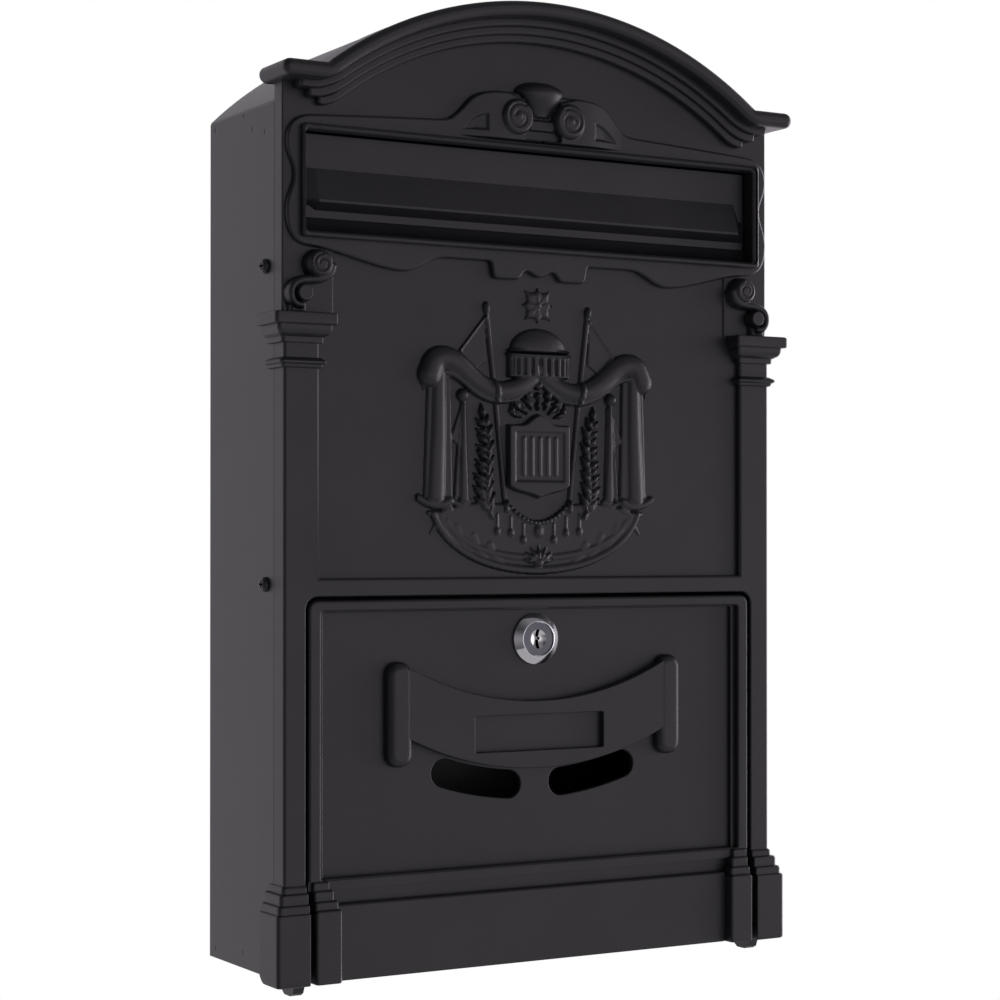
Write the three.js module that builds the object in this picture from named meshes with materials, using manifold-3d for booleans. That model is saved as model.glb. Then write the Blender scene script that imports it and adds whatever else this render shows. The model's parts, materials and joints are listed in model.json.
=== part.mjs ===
// A wall-hung letter box: a cast front with a letter slot and a drop-down door on a sheet-steel body.
// Millimetres. +X right, +Y towards the wall, +Z up. The origin is the middle of the back panel's
// outer face. Inside this file heights are counted from the underside of the base blocks, and the
// whole group is lowered by originHeight at the end.

import * as THREE from 'three';
import { mergeVertices } from 'three/addons/utils/BufferGeometryUtils.js';
import Module from 'manifold-3d';

const wasm = await Module();
wasm.setup();

// ---- driving dimensions -------------------------------------------------------------------------

const originHeight = 205; // the origin's height above the underside of the base
const arch = { curveSegments: 12 }; // facets along the arch, twice this number
const overlap = 0.5; // how far joined shapes run into each other
const gap = 0.3; // between pieces that touch
const clearHole = 1.8; // radius of a hole for a 3 mm screw, pin or rod
const beyondFrontY = -90; // where a cut through the front starts

// Depths, measured from the wall (y = 0) towards the front (negative y).
const faceY = -76; // pilasters, the rail and the door's rim
const crestPanelY = -73; // recessed panel that carries the crest
const upperWallY = -73.8; // wall around the letter slot and under the arch
const castBackY = -70; // back of the front casting's wall
const sheetFrontY = -66.1; // where the steel body starts
const wrapBackY = -62.2; // how far the base blocks and capitals reach back along the sides

// Front casting.
const halfWidth = 120.7;
const sideWall = 3;
const pilasterInner = 104.8;
const doorwayHalf = 110.8;
const doorwayTop = 157;
const panelBottom = 164.4;
const capitalTop = 272.3;
const slot = { half: 111.2, bottom: 306, top: 347, reliefTop: 348.6, reliefY: -72 };
const slotRim = { half: 113.4, bottom: 303.2, top: 349.4, frontY: -79.4 };
const cornice = { apex: 408.9, radius: 174.5, earTop: 373.1, earBottom: 366.2, half: 126, frontY: -88.2 };
const archCentre = cornice.apex - cornice.radius;

// Steel body.
const sheet = 1;
const bodyHalf = 120.6;
const bodyBottom = 1.5;
const roof = { radius: 172, centre: 236.9 };
const roomHalf = bodyHalf - sheet;

// Door and its hinge.
const doorHalf = 109.5;
const doorTop = 155.6;
const doorFieldY = -71;
const doorBackY = -68.5;
const hinge = { y: -67, z: 4.5, pinRadius: 1.5 };

// Screws through the sides of the body.
const sideScrewHeights = [162, 292.4];
const sideScrewY = -58.2;

// Flap and its rod.
const flapAxis = { y: -66.5, z: 344 };
const flapHalf = 110.2;

// Lock.
const lockHeight = 137.7;
const barrelRadius = 8;
const plugRadius = 6.2;

// ---- materials ----------------------------------------------------------------------------------

const blackCoat = new THREE.MeshStandardMaterial({ color: 0x26262a, roughness: 0.5, metalness: 0.2 });
const sheetCoat = new THREE.MeshStandardMaterial({ color: 0x2b2b2e, roughness: 0.45, metalness: 0.2 });
const chrome = new THREE.MeshStandardMaterial({ color: 0xd8dadd, roughness: 0.12, metalness: 1 });
const zinc = new THREE.MeshStandardMaterial({ color: 0xa9adb0, roughness: 0.4, metalness: 0.9 });
const blackScrew = new THREE.MeshStandardMaterial({ color: 0x1b1b1d, roughness: 0.4, metalness: 0.5 });

// ---- solids, joined and cut ---------------------------------------------------------------------

function toSolid(geometry) {
  const bare = geometry.clone();
  bare.deleteAttribute('normal');
  bare.deleteAttribute('uv');
  const merged = mergeVertices(bare, 1e-4);
  return new wasm.Manifold(new wasm.Mesh({
    numProp: 3,
    vertProperties: new Float32Array(merged.attributes.position.array),
    triVerts: new Uint32Array(merged.index.array),
  }));
}

function join(geometries) {
  return geometries.map(toSolid).reduce((whole, piece) => whole.add(piece));
}

function cut(solid, geometries) {
  return geometries.map(toSolid).reduce((left, tool) => left.subtract(tool), solid);
}

function toGeometry(solid) {
  const { vertProperties, triVerts } = solid.getMesh();
  const geometry = new THREE.BufferGeometry();
  geometry.setAttribute('position', new THREE.BufferAttribute(new Float32Array(vertProperties), 3));
  geometry.setIndex(new THREE.BufferAttribute(new Uint32Array(triVerts), 1));
  geometry.computeVertexNormals();
  return geometry;
}

// ---- shapes -------------------------------------------------------------------------------------

function box(x0, x1, y0, y1, z0, z1) {
  const geometry = new THREE.BoxGeometry(x1 - x0, y1 - y0, z1 - z0);
  return geometry.translate((x0 + x1) / 2, (y0 + y1) / 2, (z0 + z1) / 2);
}

// Boxes at +x and at -x, given the inner and outer distance from the middle.
function boxPair(inner, outer, y0, y1, z0, z1) {
  return [box(inner, outer, y0, y1, z0, z1), box(-outer, -inner, y0, y1, z0, z1)];
}

// A flat outline, drawn in x and z, given a thickness from frontY to backY.
function plate(shape, frontY, backY, { bevel = 0, curveSegments = 3 } = {}) {
  const geometry = new THREE.ExtrudeGeometry(shape, {
    depth: backY - frontY - 2 * bevel,
    curveSegments,
    bevelEnabled: bevel > 0,
    bevelThickness: bevel,
    bevelSize: bevel,
    bevelOffset: -bevel,
    bevelSegments: 1,
  });
  return geometry.rotateX(Math.PI / 2).translate(0, backY - bevel, 0);
}

// An outline drawn in y and z, carried along x.
function barAlongX(points, x0, x1) {
  const shape = new THREE.Shape(points.map(([y, z]) => new THREE.Vector2(y, z)));
  const geometry = new THREE.ExtrudeGeometry(shape, { depth: x1 - x0, bevelEnabled: false });
  const turn = new THREE.Matrix4().makeBasis(
    new THREE.Vector3(0, 1, 0), new THREE.Vector3(0, 0, 1), new THREE.Vector3(1, 0, 0));
  return geometry.applyMatrix4(turn).translate(x0, 0, 0);
}

function rodAlongX(radius, x0, x1, y, z, sides = 16) {
  const geometry = new THREE.CylinderGeometry(radius, radius, x1 - x0, sides);
  return geometry.rotateZ(Math.PI / 2).translate((x0 + x1) / 2, y, z);
}

function rodAlongY(radius, y0, y1, x, z, sides = 20) {
  const geometry = new THREE.CylinderGeometry(radius, radius, y1 - y0, sides);
  return geometry.translate(x, (y0 + y1) / 2, z);
}

function polygon(points) {
  return new THREE.Shape(points.map(([x, z]) => new THREE.Vector2(x, z)));
}

function rectangle(x0, x1, z0, z1) {
  return polygon([[x0, z0], [x1, z0], [x1, z1], [x0, z1]]);
}

// A rectangle, centred on x = 0, whose two top corners are round.
function roundTop(half, bottom, top, radius) {
  const shape = new THREE.Shape();
  shape.moveTo(-half, bottom);
  shape.lineTo(half, bottom);
  shape.lineTo(half, top - radius);
  shape.absarc(half - radius, top - radius, radius, 0, Math.PI / 2, false);
  shape.lineTo(radius - half, top);
  shape.absarc(radius - half, top - radius, radius, Math.PI / 2, Math.PI, false);
  return shape;
}

function roundRectangle(x0, x1, z0, z1, radius) {
  const shape = new THREE.Shape();
  shape.absarc(x1 - radius, z0 + radius, radius, -Math.PI / 2, 0, false);
  shape.absarc(x1 - radius, z1 - radius, radius, 0, Math.PI / 2, false);
  shape.absarc(x0 + radius, z1 - radius, radius, Math.PI / 2, Math.PI, false);
  shape.absarc(x0 + radius, z0 + radius, radius, Math.PI, 1.5 * Math.PI, false);
  return shape;
}

// The body's outline: straight sides under an arch about (0, centre).
function arched(half, bottom, radius, centre) {
  const angle = Math.acos(half / radius);
  const shape = new THREE.Shape();
  shape.moveTo(-half, bottom);
  shape.lineTo(half, bottom);
  shape.absarc(0, centre, radius, angle, Math.PI - angle, false);
  return shape;
}

// The strip between two such outlines, open at the bottom.
function archedStrip(half, inset, bottom, radius, centre) {
  const outer = Math.acos(half / radius);
  const inner = Math.acos((half - inset) / (radius - inset));
  const shape = new THREE.Shape();
  shape.moveTo(half - inset, bottom);
  shape.lineTo(half, bottom);
  shape.absarc(0, centre, radius, outer, Math.PI - outer, false);
  shape.lineTo(-half, bottom);
  shape.lineTo(inset - half, bottom);
  shape.absarc(0, centre, radius - inset, Math.PI - inner, inner, true);
  return shape;
}

// A moulding that follows the cornice's arch and ends in a level stub on each side.
function archMoulding(outerRadius, innerRadius, stubTop, stubBottom, half) {
  const outer = Math.asin((stubTop - archCentre) / outerRadius);
  const inner = Math.asin((stubBottom - archCentre) / innerRadius);
  const shape = new THREE.Shape();
  shape.moveTo(half, stubBottom);
  shape.lineTo(half, stubTop);
  shape.absarc(0, archCentre, outerRadius, outer, Math.PI - outer, false);
  shape.lineTo(-half, stubTop);
  shape.lineTo(-half, stubBottom);
  shape.absarc(0, archCentre, innerRadius, Math.PI - inner, inner, true);
  return shape;
}

// ---- front casting ------------------------------------------------------------------------------

// The flat layers: wall, upper wall, pilasters with the rail, the sides, and shoulders under the ears.
function frameWalls() {
  const wall = plate(arched(halfWidth, 0, roof.radius, roof.centre), crestPanelY, castBackY, arch);
  const upper = arched(halfWidth, capitalTop - overlap, roof.radius, roof.centre);
  upper.holes.push(rectangle(-97.5, 97.5, capitalTop, slotRim.bottom));
  const pilasters = rectangle(-halfWidth, halfWidth, 0, capitalTop);
  pilasters.holes.push(rectangle(-pilasterInner, pilasterInner, panelBottom, capitalTop - 1));
  const sides = archedStrip(halfWidth, sideWall, 0, roof.radius, roof.centre);
  const flange = archedStrip(roomHalf - 0.4, 2.4, 12, roof.radius - sheet - 0.4, roof.centre);
  return [
    wall,
    plate(upper, upperWallY, crestPanelY + overlap, arch),
    plate(pilasters, faceY, crestPanelY + overlap),
    plate(sides, faceY + 2, sheetFrontY - gap, arch),
    plate(flange, castBackY - overlap, -53, arch),
    ...boxPair(105, halfWidth, upperWallY, sheetFrontY - gap, 350, 367),
  ];
}

// The cornice: a half-round nosing with ears, over three stepped reeds.
function corniceMouldings() {
  const { radius, earTop, earBottom, half, frontY } = cornice;
  const nosing = archMoulding(radius, radius - 7.2, earTop, earBottom, half);
  const reeds = [
    { outer: 168.2, inner: 164, top: 367.5, bottom: 363.3, half: 115.8, y: -81.6 },
    { outer: 164.2, inner: 160.4, top: 363.5, bottom: 360.2, half: 111, y: -79.2 },
    { outer: 160.6, inner: 157, top: 360.4, bottom: 357.4, half: 106, y: -77.3 },
  ];
  return [
    plate(nosing, frontY, sheetFrontY - gap, { bevel: 2.6, ...arch }),
    ...boxPair(112, half - 1, -68, -63, earBottom + 1.8, earTop - 0.5),
    ...reeds.map((r) => plate(
      archMoulding(r.outer, r.inner, r.top, r.bottom, r.half), r.y, crestPanelY + overlap, arch)),
  ];
}

// The raised plate around the slot: waisted ends, scalloped foot, and a swell under the scrolls.
function cartouche() {
  const half = new THREE.Path();
  half.moveTo(0, 371.5);
  half.lineTo(20, 371.2);
  half.bezierCurveTo(34, 370.5, 36, 358, 48, 356.9);
  half.lineTo(111, 353.4);
  half.bezierCurveTo(117, 353, 119.6, 348, 119.4, 341);
  half.bezierCurveTo(119, 336, 116.2, 333, 116.2, 329);
  half.bezierCurveTo(116.2, 325, 119.6, 321, 119.6, 315);
  half.bezierCurveTo(119.6, 305, 116, 300, 108, 299.6);
  half.bezierCurveTo(92, 298, 80, 292, 66.5, 292);
  half.bezierCurveTo(58, 292, 56, 298.5, 49, 298.6);
  half.lineTo(24.3, 298.6);
  half.lineTo(21.5, 291.4);
  half.lineTo(11, 291.4);
  half.lineTo(6.5, 295);
  half.lineTo(0, 295);
  const right = half.getPoints(4);
  const left = right.slice(1, -1).map((p) => new THREE.Vector2(-p.x, p.y)).reverse();
  return plate(new THREE.Shape([...right, ...left]), faceY, upperWallY + 1);
}

function slotSurround() {
  const rim = roundRectangle(-slotRim.half, slotRim.half, slotRim.bottom, slotRim.top, 1.5);
  return [plate(rim, slotRim.frontY, castBackY - overlap)];
}

// Two volutes with a shell between them, over the slot.
function headScroll() {
  const volutes = [-13, 13].flatMap((x) => [
    rodAlongY(8.2, -79, -74, x, 360.5, 16),
    rodAlongY(5.2, -80.4, -78, x, 360.5, 12),
  ]);
  const shell = new THREE.SphereGeometry(8, 10, 6).scale(1, 0.6, 0.9).translate(0, -75.5, 367.5);
  return [...volutes, shell];
}

// An S-shaped bracket over a capital: a volute above, a roundel below and the band between.
function sideScroll(side) {
  const band = polygon([[99, 289], [107, 286.2], [118, 284.5], [118.5, 281], [108, 283.4], [101, 286]]
    .map(([x, z]) => [side * x, z]));
  return [
    rodAlongY(6, -80, -73, side * 105.8, 292.4, 14),
    rodAlongY(3.2, -81, -79, side * 105.8, 292.4, 8),
    rodAlongY(4.6, -80.4, -73, side * 114.4, 280.4, 12),
    plate(band, -78.5, -73),
    box(Math.min(side * 109, side * 119), Math.max(side * 109, side * 119), -78, -73, 272, 277),
  ];
}

// Rings that stand proud of a pilaster and wrap round the side, from z0 to z1.
function wrapStep(inner, outer, frontY, z0, z1) {
  return [
    ...boxPair(inner, outer, frontY, castBackY, z0, z1),
    ...boxPair(bodyHalf + gap, outer, frontY, wrapBackY, z0, z1),
  ];
}

function capitals() {
  return [
    ...wrapStep(99.3, 127.3, -82.4, 267.4, capitalTop),
    ...wrapStep(101.2, 125.2, -80.6, 263, 267.9),
    ...wrapStep(103, 122.4, -78.4, 260.4, 263.5),
    ...wrapStep(104, 122.7, -77.6, 250.6, 254),
  ];
}

function baseBlocks() {
  return [
    ...wrapStep(doorwayHalf, 125.8, -81.3, 0, 29.4),
    ...wrapStep(doorwayHalf, 124.8, -79.9, 29, 32.8),
    ...wrapStep(doorwayHalf, 123.4, -78.4, 32.4, 37.2),
    ...wrapStep(doorwayHalf, 121.6, -76.9, 37, 40),
  ];
}

// The lugs that hold the door pins, reaching a little below the base.
function hingeLugs() {
  return [-1, 1].flatMap((side) => {
    const x0 = side > 0 ? doorwayHalf : -115.6;
    const x1 = x0 + 4.8;
    const outline = [
      [-74.4, 10], [-74.4, -1.4], [-73.4, -3.8], [-71, -5], [-65.4, -5], [-63.2, -3.6], [-62.2, -1], [-62.2, 10],
    ];
    return [barAlongX(outline, x0, x1)];
  });
}

// Behind the slot: cheeks that hold the flap's rod, and the tabs that the flap rests against.
function flapSeats() {
  return [
    ...boxPair(111.6, 114.6, castBackY - overlap, -63, 339.5, 349.5),
    ...boxPair(111.6, 114.6, castBackY - overlap, -65.5, 313, 321),
    ...boxPair(106, 114, -68.4, -65.5, 313, 321),
  ];
}

function screwBosses() {
  return sideScrewHeights.flatMap((z) => boxPair(112, roomHalf - 0.4, -63, -53.5, z - 4, z + 4));
}

// The crest: a draped pavilion with a fluted dome, a plain shield, poles and a bowl-shaped base.
function crest() {
  const back = crestPanelY + 0.5;
  const shield = polygon([[-15, 229], [-8, 231], [0, 235], [8, 231], [15, 229], [15, 205], [0, 199], [-15, 205]]);
  const bowl = new THREE.Shape();
  bowl.moveTo(-50, 190);
  bowl.quadraticCurveTo(-34, 167.5, 0, 167);
  bowl.quadraticCurveTo(34, 167.5, 50, 190);
  bowl.quadraticCurveTo(24, 176, 0, 176);
  bowl.quadraticCurveTo(-24, 176, -50, 190);
  const swag = new THREE.Shape();
  swag.moveTo(-55, 250);
  swag.quadraticCurveTo(-50, 262, -40, 257);
  swag.quadraticCurveTo(-20, 243, 0, 252);
  swag.quadraticCurveTo(20, 243, 40, 257);
  swag.quadraticCurveTo(50, 262, 55, 250);
  swag.quadraticCurveTo(46, 254, 38, 250);
  swag.quadraticCurveTo(20, 233, 0, 245);
  swag.quadraticCurveTo(-20, 233, -38, 250);
  swag.quadraticCurveTo(-46, 254, -55, 250);
  const sides = [-1, 1].flatMap((side) => {
    const drape = polygon([[54, 250], [42, 248], [43, 200], [46, 190], [53, 199]]
      .map(([x, z]) => [side * x, z]));
    const spray = polygon([[34, 236], [20, 228], [22, 192], [36, 188]].map(([x, z]) => [side * x, z]));
    const pole = polygon([[26.5, 280], [23.5, 280], [15, 192], [18, 192]].map(([x, z]) => [side * x, z]));
    return [
      plate(drape, -76.6, back),
      plate(spray, -75.2, back),
      plate(pole, -76.4, back),
      rodAlongY(2.6, -76, back, side * 37, 241, 12),
    ];
  });
  const dome = new THREE.SphereGeometry(15.5, 12, 6).scale(1, 0.3, 0.95).translate(0, -73, 255.5);
  const star = new THREE.Shape();
  for (let i = 0; i < 16; i += 1) {
    const angle = (i * Math.PI) / 8;
    const reach = i % 2 ? 4 : 7.5;
    const [x, z] = [reach * Math.sin(angle), 281 + reach * Math.cos(angle)];
    if (i === 0) star.moveTo(x, z);
    else star.lineTo(x, z);
  }
  return [
    plate(shield, -76.4, back),
    plate(bowl, -75.6, back),
    plate(swag, -77, back),
    plate(star, -75, back),
    dome,
    ...sides,
  ];
}

function frontFrame() {
  const whole = join([
    ...frameWalls(),
    ...corniceMouldings(),
    cartouche(),
    ...slotSurround(),
    ...headScroll(),
    ...sideScroll(-1),
    ...sideScroll(1),
    ...capitals(),
    ...baseBlocks(),
    ...hingeLugs(),
    ...screwBosses(),
    ...crest(),
    box(-22, 22, crestPanelY + 1, -58.2, 158.5, 163.5),
  ]);
  const doorway = roundTop(doorwayHalf, -1, doorwayTop, 5.2);
  const slotHole = roundRectangle(-slot.half, slot.half, slot.bottom, slot.top, 1);
  const slotRelief = roundRectangle(-slot.half, slot.half, slot.bottom, slot.reliefTop, 1);
  const opened = cut(whole, [
    plate(doorway, beyondFrontY, -69),
    plate(slotHole, beyondFrontY, -69),
    plate(slotRelief, slot.reliefY, -69),
    rodAlongX(clearHole, -116.2, 116.2, hinge.y, hinge.z, 12),
    ...sideScrewHeights.map((z) => rodAlongX(clearHole, -125, -112.8, sideScrewY, z, 12)),
    ...sideScrewHeights.map((z) => rodAlongX(clearHole, 112.8, 125, sideScrewY, z, 12)),
  ]);
  const seats = join(flapSeats());
  return toGeometry(cut(opened.add(seats), [rodAlongX(clearHole, -118, 118, flapAxis.y, flapAxis.z, 12)]));
}

// ---- door ---------------------------------------------------------------------------------------

// The region between two arcs that share the middle line, for |x| up to half.
function curvedBand(topRadius, topCentre, bottomRadius, bottomCentre, half) {
  const top = Math.asin(half / topRadius);
  const bottom = Math.asin(half / bottomRadius);
  const shape = new THREE.Shape();
  const down = -Math.PI / 2;
  shape.absarc(0, bottomCentre, bottomRadius, down - bottom, down + bottom, false);
  shape.absarc(0, topCentre, topRadius, down + top, down - top, true);
  return shape;
}

// A viewing slot: a short arc about (0, centre) with round ends, between two distances from x = 0.
function viewingSlot(side, centre, radius, half, from, to) {
  const down = -Math.PI / 2;
  const near = Math.asin(from / radius);
  const far = Math.asin(to / radius);
  const [a, b] = side > 0 ? [down + near, down + far] : [down - far, down - near];
  const end = (angle) => [radius * Math.cos(angle), centre + radius * Math.sin(angle)];
  const shape = new THREE.Shape();
  shape.absarc(0, centre, radius + half, a, b, false);
  shape.absarc(...end(b), half, b, b + Math.PI, false);
  shape.absarc(0, centre, radius - half, b, a, true);
  shape.absarc(...end(a), half, a + Math.PI, a + 2 * Math.PI, false);
  return shape;
}

function doorPlinth() {
  return [
    box(-97, 97, faceY, doorBackY, 0, 31.5),
    box(-97, 97, -72.5, doorBackY, 31, 37.5),
    box(-103.5, 103.5, -75, doorBackY, 37.2, 42),
    ...boxPair(96.7, 108.4, -81, doorBackY, 0, 30.2),
    ...boxPair(97.5, 108.2, -79.4, doorBackY, 29.7, 33.6),
    ...boxPair(99, 108, -78, doorBackY, 33.2, 38),
    ...boxPair(100.5, 108, -76.8, doorBackY, 37.5, 41),
  ];
}

function doorBand() {
  const band = curvedBand(137, 248.5, 143, 225.5, 64);
  const bars = [-1, 1].map((side) => {
    const [x0, x1] = side > 0 ? [61, 73] : [-73, -61];
    return plate(roundRectangle(x0, x1, 85.5, 129.5, 5.9), -77.4, doorBackY - overlap, { bevel: 1.2 });
  });
  return [plate(band, faceY, doorBackY - overlap, { curveSegments: 8 }), ...bars];
}

function doorKnuckles() {
  return [-1, 1].flatMap((side) => {
    const [x0, x1] = side > 0 ? [102, doorwayHalf - 0.5] : [0.5 - doorwayHalf, -102];
    const [w0, w1] = side > 0 ? [102, 108] : [-108, -102];
    return [
      rodAlongX(4, x0, x1, hinge.y, hinge.z),
      box(w0, w1, -71, hinge.y, 0.8, 8.4),
    ];
  });
}

function door() {
  const panel = plate(roundTop(doorHalf, 29, doorTop, 4), doorFieldY, doorBackY);
  const rim = roundTop(doorHalf, 40.5, doorTop, 4);
  rim.holes.push(rectangle(-103.9, 103.9, 41.5, 151));
  const step = rectangle(-104.4, 104.4, 41.5, 151.5);
  step.holes.push(rectangle(-101.2, 101.2, 42, 149.3));
  const flange = rectangle(-107, 107, 10, 153.4);
  flange.holes.push(rectangle(-104.6, 104.6, 12.4, 151));
  const whole = join([
    panel,
    plate(rim, faceY, doorBackY - overlap),
    plate(step, doorFieldY - 2, doorBackY - overlap),
    plate(flange, doorBackY - 1, -62),
    ...doorPlinth(),
    ...doorBand(),
    ...doorKnuckles(),
  ]);
  const nameRecess = rectangle(-32, 32, 90.3, 105.6);
  return toGeometry(cut(whole, [
    plate(nameRecess, beyondFrontY, faceY + 3),
    plate(viewingSlot(-1, 225.5, 150.2, 6, 13, 44.5), beyondFrontY, -60),
    plate(viewingSlot(1, 225.5, 150.2, 6, 13, 44.5), beyondFrontY, -60),
    rodAlongY(barrelRadius + gap, beyondFrontY, -60, 0, lockHeight, 24),
    rodAlongX(clearHole, -115, -103, hinge.y, hinge.z, 12),
    rodAlongX(clearHole, 103, 115, hinge.y, hinge.z, 12),
  ]));
}

// ---- flap ---------------------------------------------------------------------------------------

// A thin plate with a hollow finger ledge across it, hung from a knuckle along its top edge.
function slotFlap() {
  const profile = [
    [-71, 346.4], [-71, 332.4], [-74.6, 318.6], [-74, 317.2], [-71, 316.8], [-71, 309.4],
    [-66.8, 309.4], [-66.8, 306.8], [-65.8, 306.8], [-65.8, 310.4], [-69, 310.4], [-69, 318], [-72.2, 319.2], [-69, 332.6],
    [-67, 342.4], [-66.5, 346.4],
  ];
  const blade = barAlongX(profile, -flapHalf, flapHalf);
  const knuckle = rodAlongX(3, -flapHalf, flapHalf, flapAxis.y, flapAxis.z, 20);
  const bore = rodAlongX(clearHole, -flapHalf - 1, flapHalf + 1, flapAxis.y, flapAxis.z, 12);
  return toGeometry(cut(join([blade, knuckle]), [bore]));
}

function flapClip(side) {
  const [x0, x1] = side > 0 ? [114.9, 115.7] : [-115.7, -114.9];
  const ring = join([rodAlongX(3.2, x0, x1, flapAxis.y, flapAxis.z)]);
  return toGeometry(cut(ring, [rodAlongX(clearHole, x0 - 1, x1 + 1, flapAxis.y, flapAxis.z, 12)]));
}

// ---- steel body ---------------------------------------------------------------------------------

function bodyWrap() {
  const strip = plate(
    archedStrip(bodyHalf, sheet, bodyBottom, roof.radius, roof.centre), sheetFrontY, -0.2, arch);
  const holes = sideScrewHeights.flatMap((z) => [
    rodAlongX(clearHole, -125, -115, sideScrewY, z, 12),
    rodAlongX(clearHole, 115, 125, sideScrewY, z, 12),
  ]);
  return toGeometry(cut(join([strip]), holes));
}

// Wall-screw holes: keyholes above, round holes below.
const wallHoles = { x: 80, upper: 320, lower: 60, upperRadius: 4.2, lowerRadius: 3.4 };

function backPanel() {
  const half = roomHalf - 0.4;
  const radius = roof.radius - sheet - 0.4;
  const panel = plate(arched(half, bodyBottom + gap, radius, roof.centre), -sheet, 0, arch);
  const flange = plate(archedStrip(half, sheet, 14, radius, roof.centre), -9, -sheet + 0.2, arch);
  const holes = [-1, 1].flatMap((side) => {
    const { x, upper, lower, upperRadius, lowerRadius } = wallHoles;
    return [
      rodAlongY(upperRadius, -2, 1, side * x, upper, 16),
      box(side * x - 2.4, side * x + 2.4, -2, 1, upper, upper + 9),
      rodAlongY(lowerRadius, -2, 1, side * x, lower, 16),
    ];
  });
  return toGeometry(cut(join([panel, flange]), holes));
}

// The floor: flat, with a low upturned flange on three edges.
function bottomPanel() {
  const z0 = bodyBottom + gap;
  const half = roomHalf - 0.4;
  const neck = 116.2;
  return toGeometry(join([
    box(-half, half, -52.6, -sheet - gap, z0, z0 + sheet),
    box(-neck, neck, -56.4, -52, z0, z0 + sheet),
    box(-neck, neck, -56.4, -55.4, z0, z0 + 9),
    ...boxPair(half - sheet, half, -52.6, -sheet - gap, z0, z0 + 9),
  ]));
}

// A pan-head screw along x, head outside the sheet, shank inside the casting's boss.
function sideScrew() {
  const profile = [[0, -2.2], [1.6, -2.1], [2.6, -1.5], [3.1, -0.6], [3.1, 0], [1.5, 0], [1.5, 7.4], [0, 7.4]];
  const points = profile.map(([r, h]) => new THREE.Vector2(r, h));
  const screw = new THREE.LatheGeometry(points, 12);
  const drive = box(-0.5, 0.5, -3, -1.2, -1.8, 1.8);
  const cross = box(-1.8, 1.8, -3, -1.2, -0.5, 0.5);
  return toGeometry(cut(join([screw]), [drive, cross]));
}

// ---- lock ---------------------------------------------------------------------------------------

const flangeFrontY = -74.5;
const flangeRadius = 11;
const barrelBackY = -58.4;

function lathedAlongY(profile, sides, x = 0, z = 0) {
  const points = profile.map(([radius, y]) => new THREE.Vector2(radius, y));
  return new THREE.LatheGeometry(points, sides).translate(x, 0, z);
}

function lockBody() {
  const bore = plugRadius + gap;
  const seat = doorFieldY - gap;
  const profile = [
    [bore, flangeFrontY + 0.4], [8.4, flangeFrontY], [9.1, flangeFrontY + 0.1], [flangeRadius, seat - 1.1],
    [flangeRadius, seat], [barrelRadius, seat], [barrelRadius, barrelBackY], [bore, barrelBackY],
    [bore, flangeFrontY + 0.4],
  ];
  return lathedAlongY(profile, 28, 0, lockHeight);
}

function lockPlug() {
  const barrel = rodAlongY(plugRadius, flangeFrontY + 0.5, -58.2, 0, lockHeight, 24);
  const stub = box(-3, 3, -58.7, -55.4, lockHeight - 3, lockHeight + 3);
  const keyway = box(-0.6, 0.6, flangeFrontY - 1, flangeFrontY + 4.5, lockHeight - 4, lockHeight + 4);
  const screwHole = rodAlongY(clearHole, -64, -54, 0, lockHeight, 12);
  return toGeometry(cut(join([barrel, stub]), [keyway, screwHole]));
}

function lockWasher() {
  const inner = barrelRadius + gap;
  return lathedAlongY([[inner, -68.2], [11, -68.2], [11, -67.4], [inner, -67.4], [inner, -68.2]], 24, 0, lockHeight);
}

function lockNut() {
  const hexagon = rodAlongY(12.4, -67.1, -63.1, 0, lockHeight, 6);
  return toGeometry(cut(join([hexagon]), [rodAlongY(barrelRadius + gap, -70, -60, 0, lockHeight, 24)]));
}

// The cam lies level while the door is unlocked and points up, behind the rail, when it is locked.
function lockCam() {
  const reach = 25;
  const halfBlade = 6.5;
  const shape = new THREE.Shape();
  shape.absarc(0, lockHeight, halfBlade + 1.5, Math.PI / 3, -Math.PI / 3, false);
  shape.lineTo(reach - 3, lockHeight - halfBlade);
  shape.absarc(reach - 3, lockHeight - halfBlade + 3, 3, -Math.PI / 2, 0, false);
  shape.absarc(reach - 3, lockHeight + halfBlade - 3, 3, 0, Math.PI / 2, false);
  const blade = plate(shape, -57.9, -55.9);
  const square = box(-3.3, 3.3, -60, -50, lockHeight - 3.3, lockHeight + 3.3);
  return toGeometry(cut(join([blade]), [square]));
}

function camScrew() {
  const profile = [[0, -62], [1.5, -62], [1.5, -55.1], [4.6, -55.1], [4.6, -53.9], [3.4, -53], [0, -52.8]];
  const screw = lathedAlongY(profile, 16, 0, lockHeight);
  const slotCut = box(-5, 5, -53.6, -52, lockHeight - 0.5, lockHeight + 0.5);
  return toGeometry(cut(join([screw]), [slotCut]));
}

// ---- assembly -----------------------------------------------------------------------------------

const letterBox = new THREE.Group();
letterBox.position.z = -originHeight;

function add(name, geometry, material) {
  const mesh = new THREE.Mesh(geometry, material);
  mesh.name = name;
  letterBox.add(mesh);
  return mesh;
}

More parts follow.
